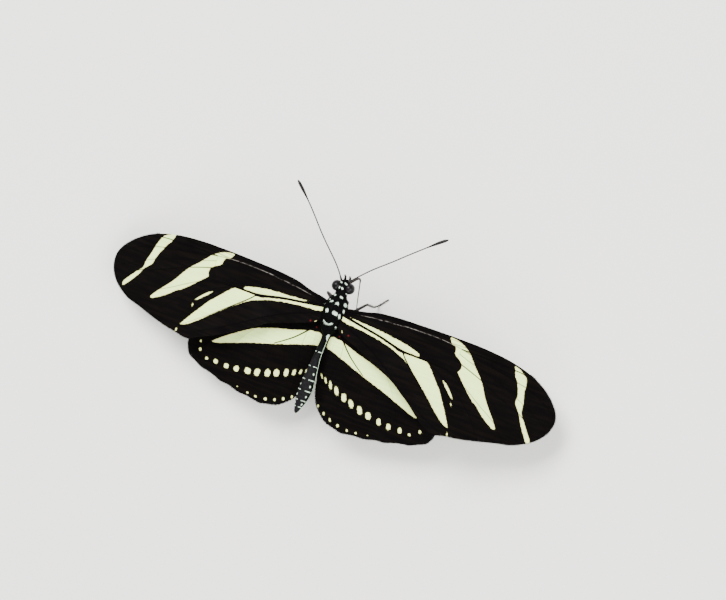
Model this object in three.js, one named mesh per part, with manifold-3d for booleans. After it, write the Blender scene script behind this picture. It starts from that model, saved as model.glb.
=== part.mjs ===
// A zebra longwing butterfly (Heliconius charithonia) at life size.
// It stands on its own legs with its wings spread.
// Millimetres, +Z up. The head points along +Y and the butterfly's own right side along +X.
// The floor is z = 0. Every height on the body is given from the level of the wing bases, WING_BASE.

import * as THREE from "three";
import { LoftGeometry } from "three/addons/geometries/LoftGeometry.js";
import { mergeVertices } from "three/addons/utils/BufferGeometryUtils.js";
import Module from "manifold-3d";

const wasm = await Module();
wasm.setup();

// Driving dimensions
const WING_BASE = 13; // height of the wing bases above the floor
const MIDLINE = 0.3; // where the body's middle plane stands along X
const GAP = 0.3; // clearance between two sub-parts that meet
const FOREWING_LENGTH = 43.3;
const FOREWING_STRETCH = { right: 0.99, left: 1.012 }; // the left wing is turned more towards the viewer
const HINDWING_LENGTH = 24;
const FOREWING_HINGE = { out: 2.18, ahead: { right: 2.31, left: 2.68 }, drop: 0 };
const HINDWING_HINGE = { out: 2.2, ahead: { right: -0.43, left: -0.55 }, drop: 1.15 };
const MEMBRANE = 0.52; // thickness of a wing between its veins
const VEIN_AT_ROOT = 0.2; // how far a vein stands out of the membrane
const VEIN_AT_MARGIN = 0.11;
const VEIN_FOOT = 0.42; // from a vein's crest to where it meets the membrane
const WIDEST_FOOT = 0.33; // share of the way to the next vein
const BODY_SIDES = 20;
const SAME_PLACE = 1e-4; // vertices closer than this are one
const HALF_TURN = 180;

// Angles in degrees
const FOREWING_DROOP = { right: 10.2, left: 13.3 }; // tip below root, seen from the front
const HINDWING_DROOP = { right: 5, left: 6.5 };
const DROOP_GROWTH = 0.8; // how the droop grows on the way out
const FOREWING_TWIST = 4.9; // front edge lower than rear edge
const HINDWING_TWIST = -13.5; // rear edge lower than front edge
const SWEEP = 0.2; // both left wings are a little further forward than the right ones

// Finishes, as roughness
const HAIRY = 0.8;
const SCALED = 0.7;
const HORNY = 0.6;
const POLISHED = 0.3;
const BLACK = 0x16130f;
const black = (roughness) => new THREE.MeshStandardMaterial({ color: BLACK, roughness, metalness: 0 });

const point = (x, y, z) => new THREE.Vector3(x, y, z);

// A closed geometry as a solid. Vertices at one place become one, and triangles that lose their area go.
function solid(geometry) {
  const bare = new THREE.BufferGeometry();
  bare.setAttribute("position", geometry.getAttribute("position"));
  bare.setIndex(geometry.getIndex());
  const merged = mergeVertices(bare, SAME_PLACE);
  const index = merged.index.array;
  const kept = [];
  for (let i = 0; i < index.length; i += 3) {
    const [a, b, c] = [index[i], index[i + 1], index[i + 2]];
    if (a !== b && b !== c && c !== a) kept.push(a, b, c);
  }
  const vertProperties = merged.attributes.position.array;
  const triVerts = new Uint32Array(kept);
  return new wasm.Manifold(new wasm.Mesh({ numProp: 3, vertProperties, triVerts }));
}

// The largest closed surface of a solid, as a named mesh.
function part(name, body, roughness) {
  const largest = body.decompose().sort((a, b) => b.volume() - a.volume())[0];
  const { vertProperties, triVerts } = largest.getMesh();
  const geometry = new THREE.BufferGeometry();
  geometry.setAttribute("position", new THREE.BufferAttribute(vertProperties, 3));
  geometry.setIndex(new THREE.BufferAttribute(triVerts, 1));
  geometry.computeVertexNormals();
  const mesh = new THREE.Mesh(geometry, black(roughness));
  mesh.name = name;
  return mesh;
}

// A loft through closed rings, turned to face outwards if the rings run the other way.
function loft(rings) {
  const made = solid(new LoftGeometry(rings, { capStart: true, capEnd: true }));
  if (made.volume() > 0) return made;
  return solid(new LoftGeometry(rings.map((ring) => [...ring].reverse()), { capStart: true, capEnd: true }));
}

// The body: stations from the front of the head back to the tip of the abdomen.
// Each holds its place along Y, its shift to the right, its height, half width and half depth.
const HEAD = [
  { y: 8.45, x: 0.12, z: -0.75, wide: 0.45, deep: 0.55 },
  { y: 8.1, x: 0.1, z: -0.75, wide: 0.85, deep: 1.0 },
  { y: 7.5, x: 0.08, z: -0.72, wide: 1.15, deep: 1.3 },
  { y: 6.8, x: 0.04, z: -0.72, wide: 1.2, deep: 1.38 },
  { y: 6.2, x: 0.02, z: -0.78, wide: 1.15, deep: 1.22 },
  { y: 5.7, x: 0.02, z: -0.85, wide: 1.15, deep: 1.16 },
  { y: 5.45, x: 0.04, z: -0.88, wide: 1.16, deep: 1.14 },
];
const THORAX = [
  { y: 5.15, x: 0.05, z: -0.9, wide: 1.36, deep: 1.32 },
  { y: 4.85, x: 0.04, z: -0.92, wide: 1.62, deep: 1.6 },
  { y: 4.2, x: 0, z: -1.0, wide: 1.95, deep: 2.0 },
  { y: 3.2, x: 0, z: -1.1, wide: 2.3, deep: 2.4 },
  { y: 1.8, x: 0, z: -1.15, wide: 2.45, deep: 2.6 },
  { y: 0.4, x: 0, z: -1.1, wide: 2.3, deep: 2.4 },
  { y: -0.8, x: 0, z: -1.0, wide: 1.85, deep: 1.95 },
  { y: -1.7, x: 0, z: -0.95, wide: 1.3, deep: 1.35 },
  { y: -2.1, x: 0, z: -0.92, wide: 0.95, deep: 1.0 },
];
const ABDOMEN = [
  { y: -2.4, x: 0, z: -0.92, wide: 0.77, deep: 0.85 },
  { y: -3.6, x: 0.02, z: -0.95, wide: 0.76, deep: 0.93 },
  { y: -5.4, x: -0.04, z: -1.0, wide: 0.8, deep: 1.0 },
  { y: -7.4, x: -0.1, z: -1.06, wide: 0.92, deep: 1.1 },
  { y: -9.4, x: -0.04, z: -1.12, wide: 1.1, deep: 1.2 },
  { y: -11.3, x: -0.01, z: -1.2, wide: 1.33, deep: 1.33 },
  { y: -12.9, x: 0.04, z: -1.29, wide: 1.48, deep: 1.37 },
  { y: -14.5, x: 0, z: -1.41, wide: 1.37, deep: 1.22 },
  { y: -16, x: -0.1, z: -1.55, wide: 1.0, deep: 0.89 },
  { y: -17, x: -0.17, z: -1.65, wide: 0.66, deep: 0.6 },
  { y: -17.6, x: -0.21, z: -1.7, wide: 0.38, deep: 0.36 },
];

// One ring of the body, a little flat at the sides. extra makes it wider all round.
function bodyRing(station, extra = 0) {
  const ring = [];
  for (let i = 0; i < BODY_SIDES; i++) {
    const angle = (i / BODY_SIDES) * 2 * Math.PI;
    const x = MIDLINE + station.x + Math.cos(angle) * (station.wide + extra);
    const z = WING_BASE + station.z + Math.sin(angle) * (station.deep + extra);
    ring.push(point(x, station.y, z));
  }
  return ring;
}

function bodySolid(stations, extra = 0) {
  const grown = stations.map((station) => bodyRing(station, extra));
  if (extra > 0) {
    const first = { ...stations[0], y: stations[0].y + extra };
    const last = { ...stations.at(-1), y: stations.at(-1).y - extra };
    return loft([bodyRing(first, 0), ...grown, bodyRing(last, 0)]);
  }
  return loft(grown);
}

// Each part of the body with the clearance round it, to trim what grows from it or lies beside it
const CLEAR = 1.2 * GAP;
const headGrown = bodySolid(HEAD, CLEAR);
const thoraxGrown = bodySolid(THORAX, CLEAR);
const abdomenGrown = bodySolid(ABDOMEN, CLEAR);

// The eyes: domes that sit in cups cut in the sides of the head.
const EYE = { x: 1.22, y: 6.95, z: -0.55, wide: 1.0, long: 1.05, deep: 1.2 };
const EYE_TURN = 0.07; // the head is turned a little to the butterfly's left
const EYE_ROUND = 18;
const EYE_BANDS = 12;

function eyeSolid(side, extra = 0) {
  const ball = new THREE.SphereGeometry(1, EYE_ROUND, EYE_BANDS);
  ball.scale(EYE.wide + extra, EYE.long + extra, EYE.deep + extra);
  ball.translate(MIDLINE + side * EYE.x, EYE.y + side * EYE_TURN, WING_BASE + EYE.z);
  return solid(ball);
}

// A round rod along a bent line, with a radius at each point. Sections lie square to the bend.
const ROD_SIDES = 8;
const NEARLY_UP = point(0.13, 0.21, 1).normalize(); // no rod runs along it

function rod(points, radii, sides = ROD_SIDES) {
  const rings = [];
  for (let i = 0; i < points.length; i++) {
    const before = points[Math.max(i - 1, 0)];
    const after = points[Math.min(i + 1, points.length - 1)];
    const along = after.clone().sub(before).normalize();
    const across = NEARLY_UP.clone().cross(along).normalize();
    const over = along.clone().cross(across);
    const ring = [];
    for (let k = 0; k < sides; k++) {
      const angle = (k / sides) * 2 * Math.PI;
      const offset = across.clone().multiplyScalar(Math.cos(angle) * radii[i]);
      offset.addScaledVector(over, Math.sin(angle) * radii[i]);
      ring.push(points[i].clone().add(offset));
    }
    rings.push(ring);
  }
  return loft(rings);
}

// A rod along a smooth curve through points given from the midline and the wing bases.
function curvedRod(places, steps, radiusAt, sides = ROD_SIDES) {
  const curve = new THREE.CatmullRomCurve3(places.map(([x, y, z]) => point(MIDLINE + x, y, WING_BASE + z)));
  const points = [];
  const radii = [];
  for (let i = 0; i <= steps; i++) {
    points.push(curve.getPointAt(i / steps));
    radii.push(radiusAt(i / steps));
  }
  return rod(points, radii, sides);
}

// Antennae: a thin shaft and a long, slender club over the last fifth, which ends in a point.
const ANTENNA_RADIUS = 0.25;
const CLUB_RADIUS = 0.36;
const CLUB_START = 0.78; // share of the antenna's length
const CLUB_FULL = 0.6; // share of the club's own length
const CLUB_TAPER = 0.75;
const CLUB_POINT = 0.35; // radius at the tip, as a share
const ANTENNA_STEPS = 24;
const ANTENNA_SIDES = 7;
const ANTENNA_LEFT = [
  [-0.62, 7.8, -0.25],
  [-0.85, 8.27, -0.12],
  [-2.58, 10.55, 0.58],
  [-6.36, 14.43, 1.86],
  [-9.76, 18.29, 2.96],
  [-12.14, 20.75, 3.58],
  [-14.03, 22.5, 3.9],
];
const ANTENNA_RIGHT = [
  [0.7, 7.8, -0.22],
  [1.02, 8.5, -0.08],
  [4.09, 11.58, 0.89],
  [7.27, 14.25, 1.84],
  [10.4, 16.98, 2.72],
  [14.31, 20.29, 3.64],
  [16.05, 21.59, 3.9],
];

function antennaRadius(t) {
  if (t < CLUB_START) return ANTENNA_RADIUS;
  const s = (t - CLUB_START) / (1 - CLUB_START);
  const swell = Math.sin(Math.min(s / CLUB_FULL, 1) * (Math.PI / 2));
  const taper = 1 - (Math.max(s - CLUB_TAPER, 0) / (1 - CLUB_TAPER)) * (1 - CLUB_POINT);
  return (ANTENNA_RADIUS + (CLUB_RADIUS - ANTENNA_RADIUS) * swell) * taper;
}

function antennaSolid(side) {
  const places = side > 0 ? ANTENNA_RIGHT : ANTENNA_LEFT;
  const made = curvedRod(places, ANTENNA_STEPS, antennaRadius, ANTENNA_SIDES);
  return made.subtract(headGrown).subtract(eyeSolid(side, CLEAR));
}

// Palps: two short bristly feelers that stand up in front of the face.
const PALP_RADIUS = 0.3;
const PALP_TAPER = 0.55;
const PALP_STEPS = 6;
const PALP_SHIFT = 0.12; // both stand a little to the right of the midline
const PALP = [
  [0.41, 7.9, -1.3],
  [0.47, 8.75, -1.05],
  [0.48, 9.05, -0.3],
  [0.46, 9.15, 0.3],
];

function palpSolid(side) {
  const places = PALP.map(([x, y, z]) => [side * x + PALP_SHIFT, y, z]);
  return curvedRod(places, PALP_STEPS, (t) => PALP_RADIUS * (1 - PALP_TAPER * t * t)).subtract(headGrown);
}

// The proboscis is out, as when the butterfly drinks: forward and right, a sharp knee, then down and back.
const PROBOSCIS = [
  [0.2, 7.3, -1.8],
  [0.85, 8.25, -2.15],
  [1.55, 9.0, -1.95],
  [2.1, 9.4, -1.7],
  [2.38, 9.25, -1.95],
  [2.45, 8.3, -3.1],
  [2.6, 6.6, -4.6],
  [2.8, 4.4, -6.7],
  [2.9, 2.9, -8.4],
];
const PROBOSCIS_RADIUS = 0.27;
const PROBOSCIS_TAPER = 0.3;
const PROBOSCIS_STEPS = 24;
const PROBOSCIS_SIDES = 7;

// Legs. Each joint is given from the midline and the wing bases, with x outwards. The toe lies on the floor.
const FLOOR = -WING_BASE;
const TOE_HEIGHT = 0.19; // the toe's middle above the floor, which leaves a small flat under it
const LEG_RADII = [0.5, 0.42, 0.4, 0.29, 0.27, 0.27, 0.27, 0.27];
const FORELEG_RADII = [0.36, 0.34, 0.27, 0.27, 0.2];
const THIGH_MIDDLE = 0.45; // share of the thigh where it is still thick
const SHIN_TOP = 0.12; // share of the shin where it has its own thickness
const FORESHIN_TOP = 0.3;
const LEG_JOINTS = ["root", "hip", "knee", "ankle", "heel", "toe"];
const MIDLEG = {
  right: {
    root: [1.2, 1.6, -2.6],
    hip: [1.65, 2.0, -3.5],
    knee: [4.65, 5.45, -4.2],
    ankle: [4.95, 5.4, -10.8],
    heel: [5.2, 5.9, FLOOR + TOE_HEIGHT],
    toe: [6.7, 7.75, FLOOR + TOE_HEIGHT],
  },
  left: {
    root: [1.2, 1.6, -2.6],
    hip: [1.65, 1.9, -3.5],
    knee: [4.4, 3.6, -4.1],
    ankle: [6.3, 2.9, -10.8],
    heel: [7.0, 3.2, FLOOR + TOE_HEIGHT],
    toe: [9.0, 4.2, FLOOR + TOE_HEIGHT],
  },
};
const BOTH_HINDLEGS = {
  root: [1.1, -0.4, -2.3],
  hip: [1.45, -0.8, -3.3],
  knee: [4.2, -4.6, -4.6],
  ankle: [5.6, -8.9, -10.9],
  heel: [6.0, -9.9, FLOOR + TOE_HEIGHT],
  toe: [6.9, -12.6, FLOOR + TOE_HEIGHT],
};
const HINDLEG = { right: BOTH_HINDLEGS, left: BOTH_HINDLEGS };
// The front legs are short and folded against the breast, as in all brush-footed butterflies.
// The left knee shows beside the neck. The right one is held closer.
const FORELEG = {
  right: { root: [0.6, 3.9, -2.2], hip: [0.8, 4.25, -3.2], knee: [1.2, 4.75, -4.1], tip: [1.0, 3.4, -4.9] },
  left: { root: [0.6, 3.9, -2.2], hip: [1.1, 4.3, -3.1], knee: [3.05, 5.2, -3.3], tip: [2.2, 3.9, -4.6] },
};
const FLOOR_BLOCK = { across: 60, deep: 10 };
const floorBox = new THREE.BoxGeometry(FLOOR_BLOCK.across, FLOOR_BLOCK.across, FLOOR_BLOCK.deep);
const floorBlock = solid(floorBox.translate(0, 0, -FLOOR_BLOCK.deep / 2));

const sideName = (side) => (side > 0 ? "right" : "left");
const onBody = (side, [x, y, z]) => point(MIDLINE + side * x, y, WING_BASE + z);

function legRod(side, legs) {
  const leg = legs[sideName(side)];
  const [root, hip, knee, ankle, heel, toe] = LEG_JOINTS.map((joint) => onBody(side, leg[joint]));
  const thigh = hip.clone().lerp(knee, THIGH_MIDDLE);
  const shin = knee.clone().lerp(ankle, SHIN_TOP);
  const made = rod([root, hip, thigh, knee, shin, ankle, heel, toe], LEG_RADII);
  return made.subtract(floorBlock).subtract(thoraxGrown);
}

function forelegRod(side) {
  const leg = FORELEG[sideName(side)];
  const [root, hip, knee, tip] = ["root", "hip", "knee", "tip"].map((joint) => onBody(side, leg[joint]));
  const shin = knee.clone().lerp(tip, FORESHIN_TOP);
  return rod([root, hip, knee, shin, tip], FORELEG_RADII).subtract(thoraxGrown);
}

// Wings. A wing is drawn flat: u runs outwards from the hinge and v forwards.
// Rays run from the root to the margin. Each is an edge of the wing, a vein, or a stem with its branch.
// stemAt holds the stations as shares of a stem, fork is the station where a branch leaves it, from is
// where a vein starts to stand out, and middles lists the rays that have a line midway to the next.
const curve2 = (points) => new THREE.SplineCurve(points.map(([u, v]) => new THREE.Vector2(u, v)));

const FOREWING = {
  length: FOREWING_LENGTH,
  stations: 13,
  stemAt: [0, 0.08, 0.18, 0.3, 0.43, 0.585, 0.7, 0.82, 0.91, 1],
  stems: {
    radius: [[-0.3, 0.3], [6.9, 1.4], [12.3, 1.9], [19.3, 1.9], [22.5, 1.55]],
    cubitus: [[-0.3, -0.2], [4, -0.95], [8, -1.6], [12.4, -2.55], [17.4, -2.7], [21.2, -2.9]],
  },
  rays: [
    { path: [[-0.3, 1.0], [3.5, 1.75], [7, 2.6], [15, 3.05], [24, 3.2]], edge: true },
    { path: [[-0.3, 0.65], [7, 2.05], [15, 2.5], [22, 2.7], [27, 3.08]] },
    { stem: "radius", fork: 8, path: [[25, 2.2], [31.5, 2.72]] },
    { stem: "radius", fork: 9, path: [[28, 1.5], [34, 1.3], [37.8, 0.75]] },
    { stem: "radius", fork: 9, path: [[28, 0.5], [33.2, -0.4], [37.8, -1.45], [42.9, -3.8]] },
    { stem: "radius", fork: 9, path: [[25, -0.2], [29, -1.2], [35, -3.3], [40.6, -5.9], [42.9, -7.2]] },
    {
      path: [[-0.3, 0.05], [12, -0.35], [22.2, -0.7], [27.4, -2.4], [33, -4.7], [37.3, -6.3], [41.0, -9.6]],
      from: 9,
    },
    { stem: "cubitus", fork: 9, path: [[24.9, -4.5], [29, -6.9], [32.7, -9.0], [35.9, -12.0]] },
    { stem: "cubitus", fork: 7, path: [[22.5, -5.3], [27.6, -8.9], [31.2, -13.2]] },
    { stem: "cubitus", fork: 5, path: [[13.6, -3.9], [17.4, -7.2], [20.5, -9.8], [26.3, -14.15]] },
    { path: [[-0.3, -1.5], [4.5, -3.3], [9, -5.6], [14, -8.9], [19, -11.9], [24.3, -14.5]] },
  ],
  middles: [3, 4, 5, 6, 7, 8, 9],
};
// The rear edge of each forewing. The right one is hollowed a little more.
const REAR_EDGE = {
  right: [[-0.3, -2.8], [4.3, -5.0], [9.4, -7.05], [14.0, -9.5], [18.2, -12.4], [22.9, -14.8]],
  left: [[-0.3, -2.8], [4.3, -5.1], [9, -7.0], [14.4, -10.3], [18.5, -12.8], [22.9, -14.8]],
};
const HINDWING = {
  length: HINDWING_LENGTH,
  stations: 10,
  stemAt: [0, 0.2, 0.4, 0.6, 0.8, 1],
  stems: {
    radius: [[-0.1, 0.05], [3, -0.6], [6, -1.6], [9.2, -3.4]],
    cubitus: [[-0.1, -0.45], [1.7, -2.3], [3.3, -4.1], [4.8, -5.6], [6.6, -6.8]],
  },
  rays: [
    { path: [[-0.1, 0.6], [5, 1.1], [10, 0.4], [15, -1.8], [19.5, -5.4], [22.4, -10.4]], edge: true },
    { path: [[-0.1, 0.3], [6, 0.2], [12, -1.7], [17.6, -5.6], [22.6, -12.0]] },
    { stem: "radius", fork: 4, path: [[12.5, -5.0], [17.0, -9.3], [19.4, -12.6], [21.3, -14.7]] },
    { stem: "radius", fork: 5, path: [[12.2, -7.2], [14.3, -11], [15.5, -13.6], [17.3, -16.35]] },
    { path: [[-0.1, -0.2], [4.5, -2.7], [8.4, -5.3], [10.1, -9], [11, -13.3], [12.1, -17.5]], from: 5 },
    { stem: "cubitus", fork: 5, path: [[7, -9.3], [7.2, -12.7], [7.9, -18.2]] },
    { stem: "cubitus", fork: 4, path: [[4.1, -8.4], [3.8, -11.7], [4.3, -18.1]] },
    { stem: "cubitus", fork: 2, path: [[1.7, -6.3], [0.9, -10.4], [1.1, -16.5]] },
    { path: [[-0.1, -0.8], [-0.45, -5], [-0.7, -9], [-0.6, -12.5], [0, -15.4]] },
    {
      path: [[-0.2, -1.2], [-1.1, -4], [-1.6, -8], [-1.4, -11.5], [-0.9, -13.4], [-0.4, -14.8]],
      edge: true,
    },
  ],
  middles: [1, 2, 3, 4, 5, 6],
};

// The stations of one ray, from the root to the margin.
function rayPoints(wing, ray) {
  const count = wing.stations;
  if (!ray.stem) return curve2(ray.path).getSpacedPoints(count);
  const stem = curve2(wing.stems[ray.stem]);
  const points = wing.stemAt.slice(0, ray.fork + 1).map((t) => stem.getPointAt(t));
  const start = points.at(-1);
  const branch = curve2([[start.x, start.y], ...ray.path]).getSpacedPoints(count - ray.fork);
  return [...points, ...branch.slice(1)];
}

// The lines that a wing's surface is made of: each ray, the feet of each vein and lines midway between.
// Each line holds a place and a height above the membrane for every station.
function wingLines(wing) {
  const rays = wing.rays.map((ray) => rayPoints(wing, ray));
  const crest = (i, j) => {
    const ray = wing.rays[i];
    if (ray.edge || j < (ray.from ?? 0)) return 0;
    return THREE.MathUtils.lerp(VEIN_AT_ROOT, VEIN_AT_MARGIN, j / wing.stations);
  };
  const lines = [];
  rays.forEach((ray, i) => {
    lines.push(ray.map((at, j) => ({ at, raised: crest(i, j) })));
    const next = rays[i + 1];
    if (!next) return;
    const between = (share) =>
      ray.map((at, j) => {
        const apart = at.distanceTo(next[j]);
        if (apart < SAME_PLACE) return { at, raised: crest(i, j) };
        return { at: at.clone().lerp(next[j], share(apart)), raised: 0 };
      });
    const foot = (apart) => Math.min(VEIN_FOOT / apart, WIDEST_FOOT);
    if (!wing.rays[i].edge) lines.push(between(foot));
    if (wing.middles.includes(i)) lines.push(between(() => 0.5));
    if (!wing.rays[i + 1].edge) lines.push(between((apart) => 1 - foot(apart)));
  });
  return lines;
}

// Where a place on the flat wing lies once the wing is bent and hung on the body.
function wingPlace(pose, { x: u, y: v }) {
  const out = Math.cos(pose.sweep) * u * pose.stretch - Math.sin(pose.sweep) * v;
  const ahead = Math.sin(pose.sweep) * u * pose.stretch + Math.cos(pose.sweep) * v;
  const droop = pose.droop * Math.pow(Math.max(out, 0) / pose.length, DROOP_GROWTH);
  const x = pose.hinge.x + pose.side * out * Math.cos(droop);
  const y = pose.hinge.y + ahead * Math.cos(pose.twist);
  const z = pose.hinge.z - out * Math.sin(droop) - ahead * Math.sin(pose.twist);
  return point(x, y, z);
}

// A wing as one plate, with its upper and lower face split into triangles alike.
function wingSolid(wing, pose) {
  const lines = wingLines(wing);
  const columns = wing.stations + 1;
  const vertices = [];
  for (const face of [1, -1]) {
    for (const line of lines) {
      for (const { at, raised } of line) {
        const place = wingPlace(pose, at);
        vertices.push(place.x, place.y, place.z + face * (MEMBRANE / 2 + raised));
      }
    }
  }
  const lower = lines.length * columns;
  const index = [];
  const quad = (a, b, c, d) => index.push(a, b, c, a, c, d);
  for (let i = 0; i + 1 < lines.length; i++) {
    for (let j = 0; j + 1 < columns; j++) {
      const a = i * columns + j;
      const b = a + columns;
      quad(a, b, b + 1, a + 1);
      index.push(lower + a, lower + b + 1, lower + b, lower + a, lower + a + 1, lower + b + 1);
    }
  }
  const rim = (a, b) => quad(a, b, lower + b, lower + a);
  const last = (lines.length - 1) * columns;
  for (let j = 0; j + 1 < columns; j++) {
    rim(j, j + 1);
    rim(last + j + 1, last + j);
  }
  for (let i = 0; i + 1 < lines.length; i++) {
    const a = i * columns;
    rim(a + columns, a);
    rim(a + columns - 1, a + 2 * columns - 1);
  }
  const geometry = new THREE.BufferGeometry();
  geometry.setAttribute("position", new THREE.Float32BufferAttribute(vertices, 3));
  geometry.setIndex(index);
  const made = solid(geometry);
  if (made.volume() > 0) return made;
  for (let i = 0; i < index.length; i += 3) [index[i + 1], index[i + 2]] = [index[i + 2], index[i + 1]];
  geometry.setIndex(index);
  return solid(geometry);
}

const DEGREE = Math.PI / HALF_TURN;

// How a wing hangs: the place of its hinge and its angles.
function wingPose(side, { out, ahead, drop }, droop, twist, length, stretch) {
  const hinge = point(MIDLINE + side * out, ahead[sideName(side)], WING_BASE - drop);
  const sweep = -side * SWEEP * DEGREE;
  return { side, hinge, droop: droop * DEGREE, twist: twist * DEGREE, sweep, length, stretch };
}

function forewingSolid(side) {
  const name = sideName(side);
  const wing = { ...FOREWING, rays: [...FOREWING.rays, { path: REAR_EDGE[name], edge: true }] };
  const stretch = FOREWING_STRETCH[name];
  const droop = FOREWING_DROOP[name];
  const pose = wingPose(side, FOREWING_HINGE, droop, FOREWING_TWIST, FOREWING_LENGTH, stretch);
  return wingSolid(wing, pose).subtract(thoraxGrown);
}

function hindwingSolid(side) {
  const droop = HINDWING_DROOP[sideName(side)];
  const pose = wingPose(side, HINDWING_HINGE, droop, HINDWING_TWIST, HINDWING_LENGTH, 1);
  return wingSolid(HINDWING, pose).subtract(thoraxGrown).subtract(abdomenGrown);
}

// The butterfly, every sub-part a mesh of its own
const butterfly = new THREE.Group();
butterfly.name = "zebra_longwing";

const headSolid = bodySolid(HEAD).subtract(eyeSolid(1, CLEAR)).subtract(eyeSolid(-1, CLEAR));
butterfly.add(part("head", headSolid, HAIRY));
butterfly.add(part("thorax", bodySolid(THORAX), HAIRY));
butterfly.add(part("abdomen", bodySolid(ABDOMEN), HAIRY));

for (const side of [1, -1]) {
  const name = sideName(side);
  butterfly.add(part(`eye_${name}`, eyeSolid(side), POLISHED));
  butterfly.add(part(`antenna_${name}`, antennaSolid(side), HORNY));
  butterfly.add(part(`palp_${name}`, palpSolid(side), HAIRY));
  butterfly.add(part(`forewing_${name}`, forewingSolid(side), SCALED));
  butterfly.add(part(`hindwing_${name}`, hindwingSolid(side), SCALED));
  butterfly.add(part(`foreleg_${name}`, forelegRod(side), HORNY));
  butterfly.add(part(`midleg_${name}`, legRod(side, MIDLEG), HORNY));
  butterfly.add(part(`hindleg_${name}`, legRod(side, HINDLEG), HORNY));
}

const proboscisRadius = (t) => PROBOSCIS_RADIUS * (1 - PROBOSCIS_TAPER * t);
const proboscis = curvedRod(PROBOSCIS, PROBOSCIS_STEPS, proboscisRadius, PROBOSCIS_SIDES);
butterfly.add(part("proboscis", proboscis.subtract(headGrown), HORNY));

// The origin stands on the floor under the middle of the whole butterfly.
const box = new THREE.Box3().setFromObject(butterfly);
const middle = box.getCenter(point(0, 0, 0));
butterfly.position.set(-middle.x, -middle.y, 0);

export default butterfly;
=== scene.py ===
import math

import bmesh
import bpy
import numpy as np
from bpy.props import FloatProperty, FloatVectorProperty, PointerProperty
from mathutils import Matrix, Vector


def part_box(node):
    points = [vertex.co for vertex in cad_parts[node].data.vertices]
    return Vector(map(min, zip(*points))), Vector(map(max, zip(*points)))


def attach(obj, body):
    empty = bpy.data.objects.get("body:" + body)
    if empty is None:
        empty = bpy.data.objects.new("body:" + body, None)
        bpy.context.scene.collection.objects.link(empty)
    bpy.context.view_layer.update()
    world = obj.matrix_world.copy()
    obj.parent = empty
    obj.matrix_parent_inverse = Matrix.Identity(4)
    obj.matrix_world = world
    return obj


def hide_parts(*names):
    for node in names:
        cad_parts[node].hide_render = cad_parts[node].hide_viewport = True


bl_info = {
    "name": "Zebra longwing butterfly",
    "version": (1, 0, 0),
    "blender": (4, 5, 0),
    "location": "3D View > Sidebar > Longwing",
    "description": "Builds the looks of a life-size zebra longwing butterfly on its CAD parts",
    "category": "Add Mesh",
}

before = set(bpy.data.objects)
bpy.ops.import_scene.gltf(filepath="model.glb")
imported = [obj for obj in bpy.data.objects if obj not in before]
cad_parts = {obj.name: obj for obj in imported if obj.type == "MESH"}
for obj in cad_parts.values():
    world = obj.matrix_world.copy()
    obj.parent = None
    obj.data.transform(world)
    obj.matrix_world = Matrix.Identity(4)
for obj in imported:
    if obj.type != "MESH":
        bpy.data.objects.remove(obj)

MM = 0.001  # metres in a millimetre; every length below is in mm unless it says otherwise
SIDES = {"right": 1, "left": -1}

# Wings
# Flat wing coordinates: u runs out from the hinge, v runs ahead, towards the head.

HINGE_OUT = {"forewing": 2.18, "hindwing": 2.2}
HINGE_AHEAD = {
    ("forewing", "right"): 2.31,
    ("forewing", "left"): 2.68,
    ("hindwing", "right"): -0.43,
    ("hindwing", "left"): -0.55,
}
HINGE_DROP = {"forewing": 0.0, "hindwing": 1.15}
WING_LENGTH = {"forewing": 43.3, "hindwing": 24.0}
DROOP = {
    ("forewing", "right"): 10.2,
    ("forewing", "left"): 13.3,
    ("hindwing", "right"): 5.0,
    ("hindwing", "left"): 6.5,
}
DROOP_GROWTH = 0.8
TWIST = {"forewing": 4.9, "hindwing": -13.5}
SWEEP = 0.2

OUTLINE = {
    "forewing": [
        (-0.3, 1), (3.5, 1.75), (7, 2.6), (10.5, 2.95), (15, 3.08), (20, 3.12), (24, 3.22),
        (27, 3.12), (30.3, 2.85), (33, 2.4), (35.7, 1.68), (38.2, 0.55), (40.4, -0.85),
        (42.2, -2.6), (43.1, -4.1), (43.3, -5.5), (42.85, -7.2), (41.95, -8.6), (40.7, -9.8),
        (39, -10.85), (37, -11.75), (34.7, -12.25), (32.4, -12.85), (29.8, -13.5),
        (27.5, -14), (25, -14.35),
    ],
    "hindwing": [
        (0, 0.6), (5, 1.1), (10, 0.4), (15, -1.8), (19.5, -5.4), (22.1, -9.2), (22.6, -11.4),
        (22.4, -13), (21.6, -14.6), (20.1, -15.35), (18.6, -16.1), (17.3, -16.3),
        (15.9, -16.65), (14.2, -17.25), (12.5, -17.4), (10.4, -18), (8.8, -18.05),
        (7.2, -18.3), (5.9, -18.5), (4.5, -18.15), (2.7, -17.65), (1.3, -16.6), (0, -15.1),
    ],
}
# What closes each outline: the rear edge of a forewing, and a hindwing's inner edge under the abdomen.
REAR_EDGE = {
    ("forewing", "right"): [
        (22.9, -14.9), (21.4, -14.4), (19.3, -13.1), (16.8, -11.2), (14.8, -9.9), (12.6, -8.5),
        (9.4, -7.05), (7, -6.1), (4.3, -5), (1, -3.8), (-0.3, -2.8), (-0.4, -1),
    ],
    ("forewing", "left"): [
        (22.4, -14.7), (20.3, -13.8), (17.1, -12.3), (14.6, -10.8), (12.2, -9.2), (10.3, -8),
        (8.7, -6.9), (6.8, -6.1), (4.3, -5.15), (1, -3.8), (-0.3, -2.8), (-0.4, -1),
    ],
    ("hindwing", "right"): [
        (-0.75, -13.3), (-1.45, -10.4), (-1.8, -8.5), (-1.95, -6.3), (-1.95, -4.3), (-1.9, -2.4),
        (-1.5, -1), (-0.7, 0.1),
    ],
    ("hindwing", "left"): [
        (-0.8, -13.3), (-1.4, -10.4), (-1.7, -8.5), (-1.85, -6.3), (-1.95, -4.3), (-1.9, -2.4),
        (-1.5, -1), (-0.7, 0.1),
    ],
}
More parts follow.
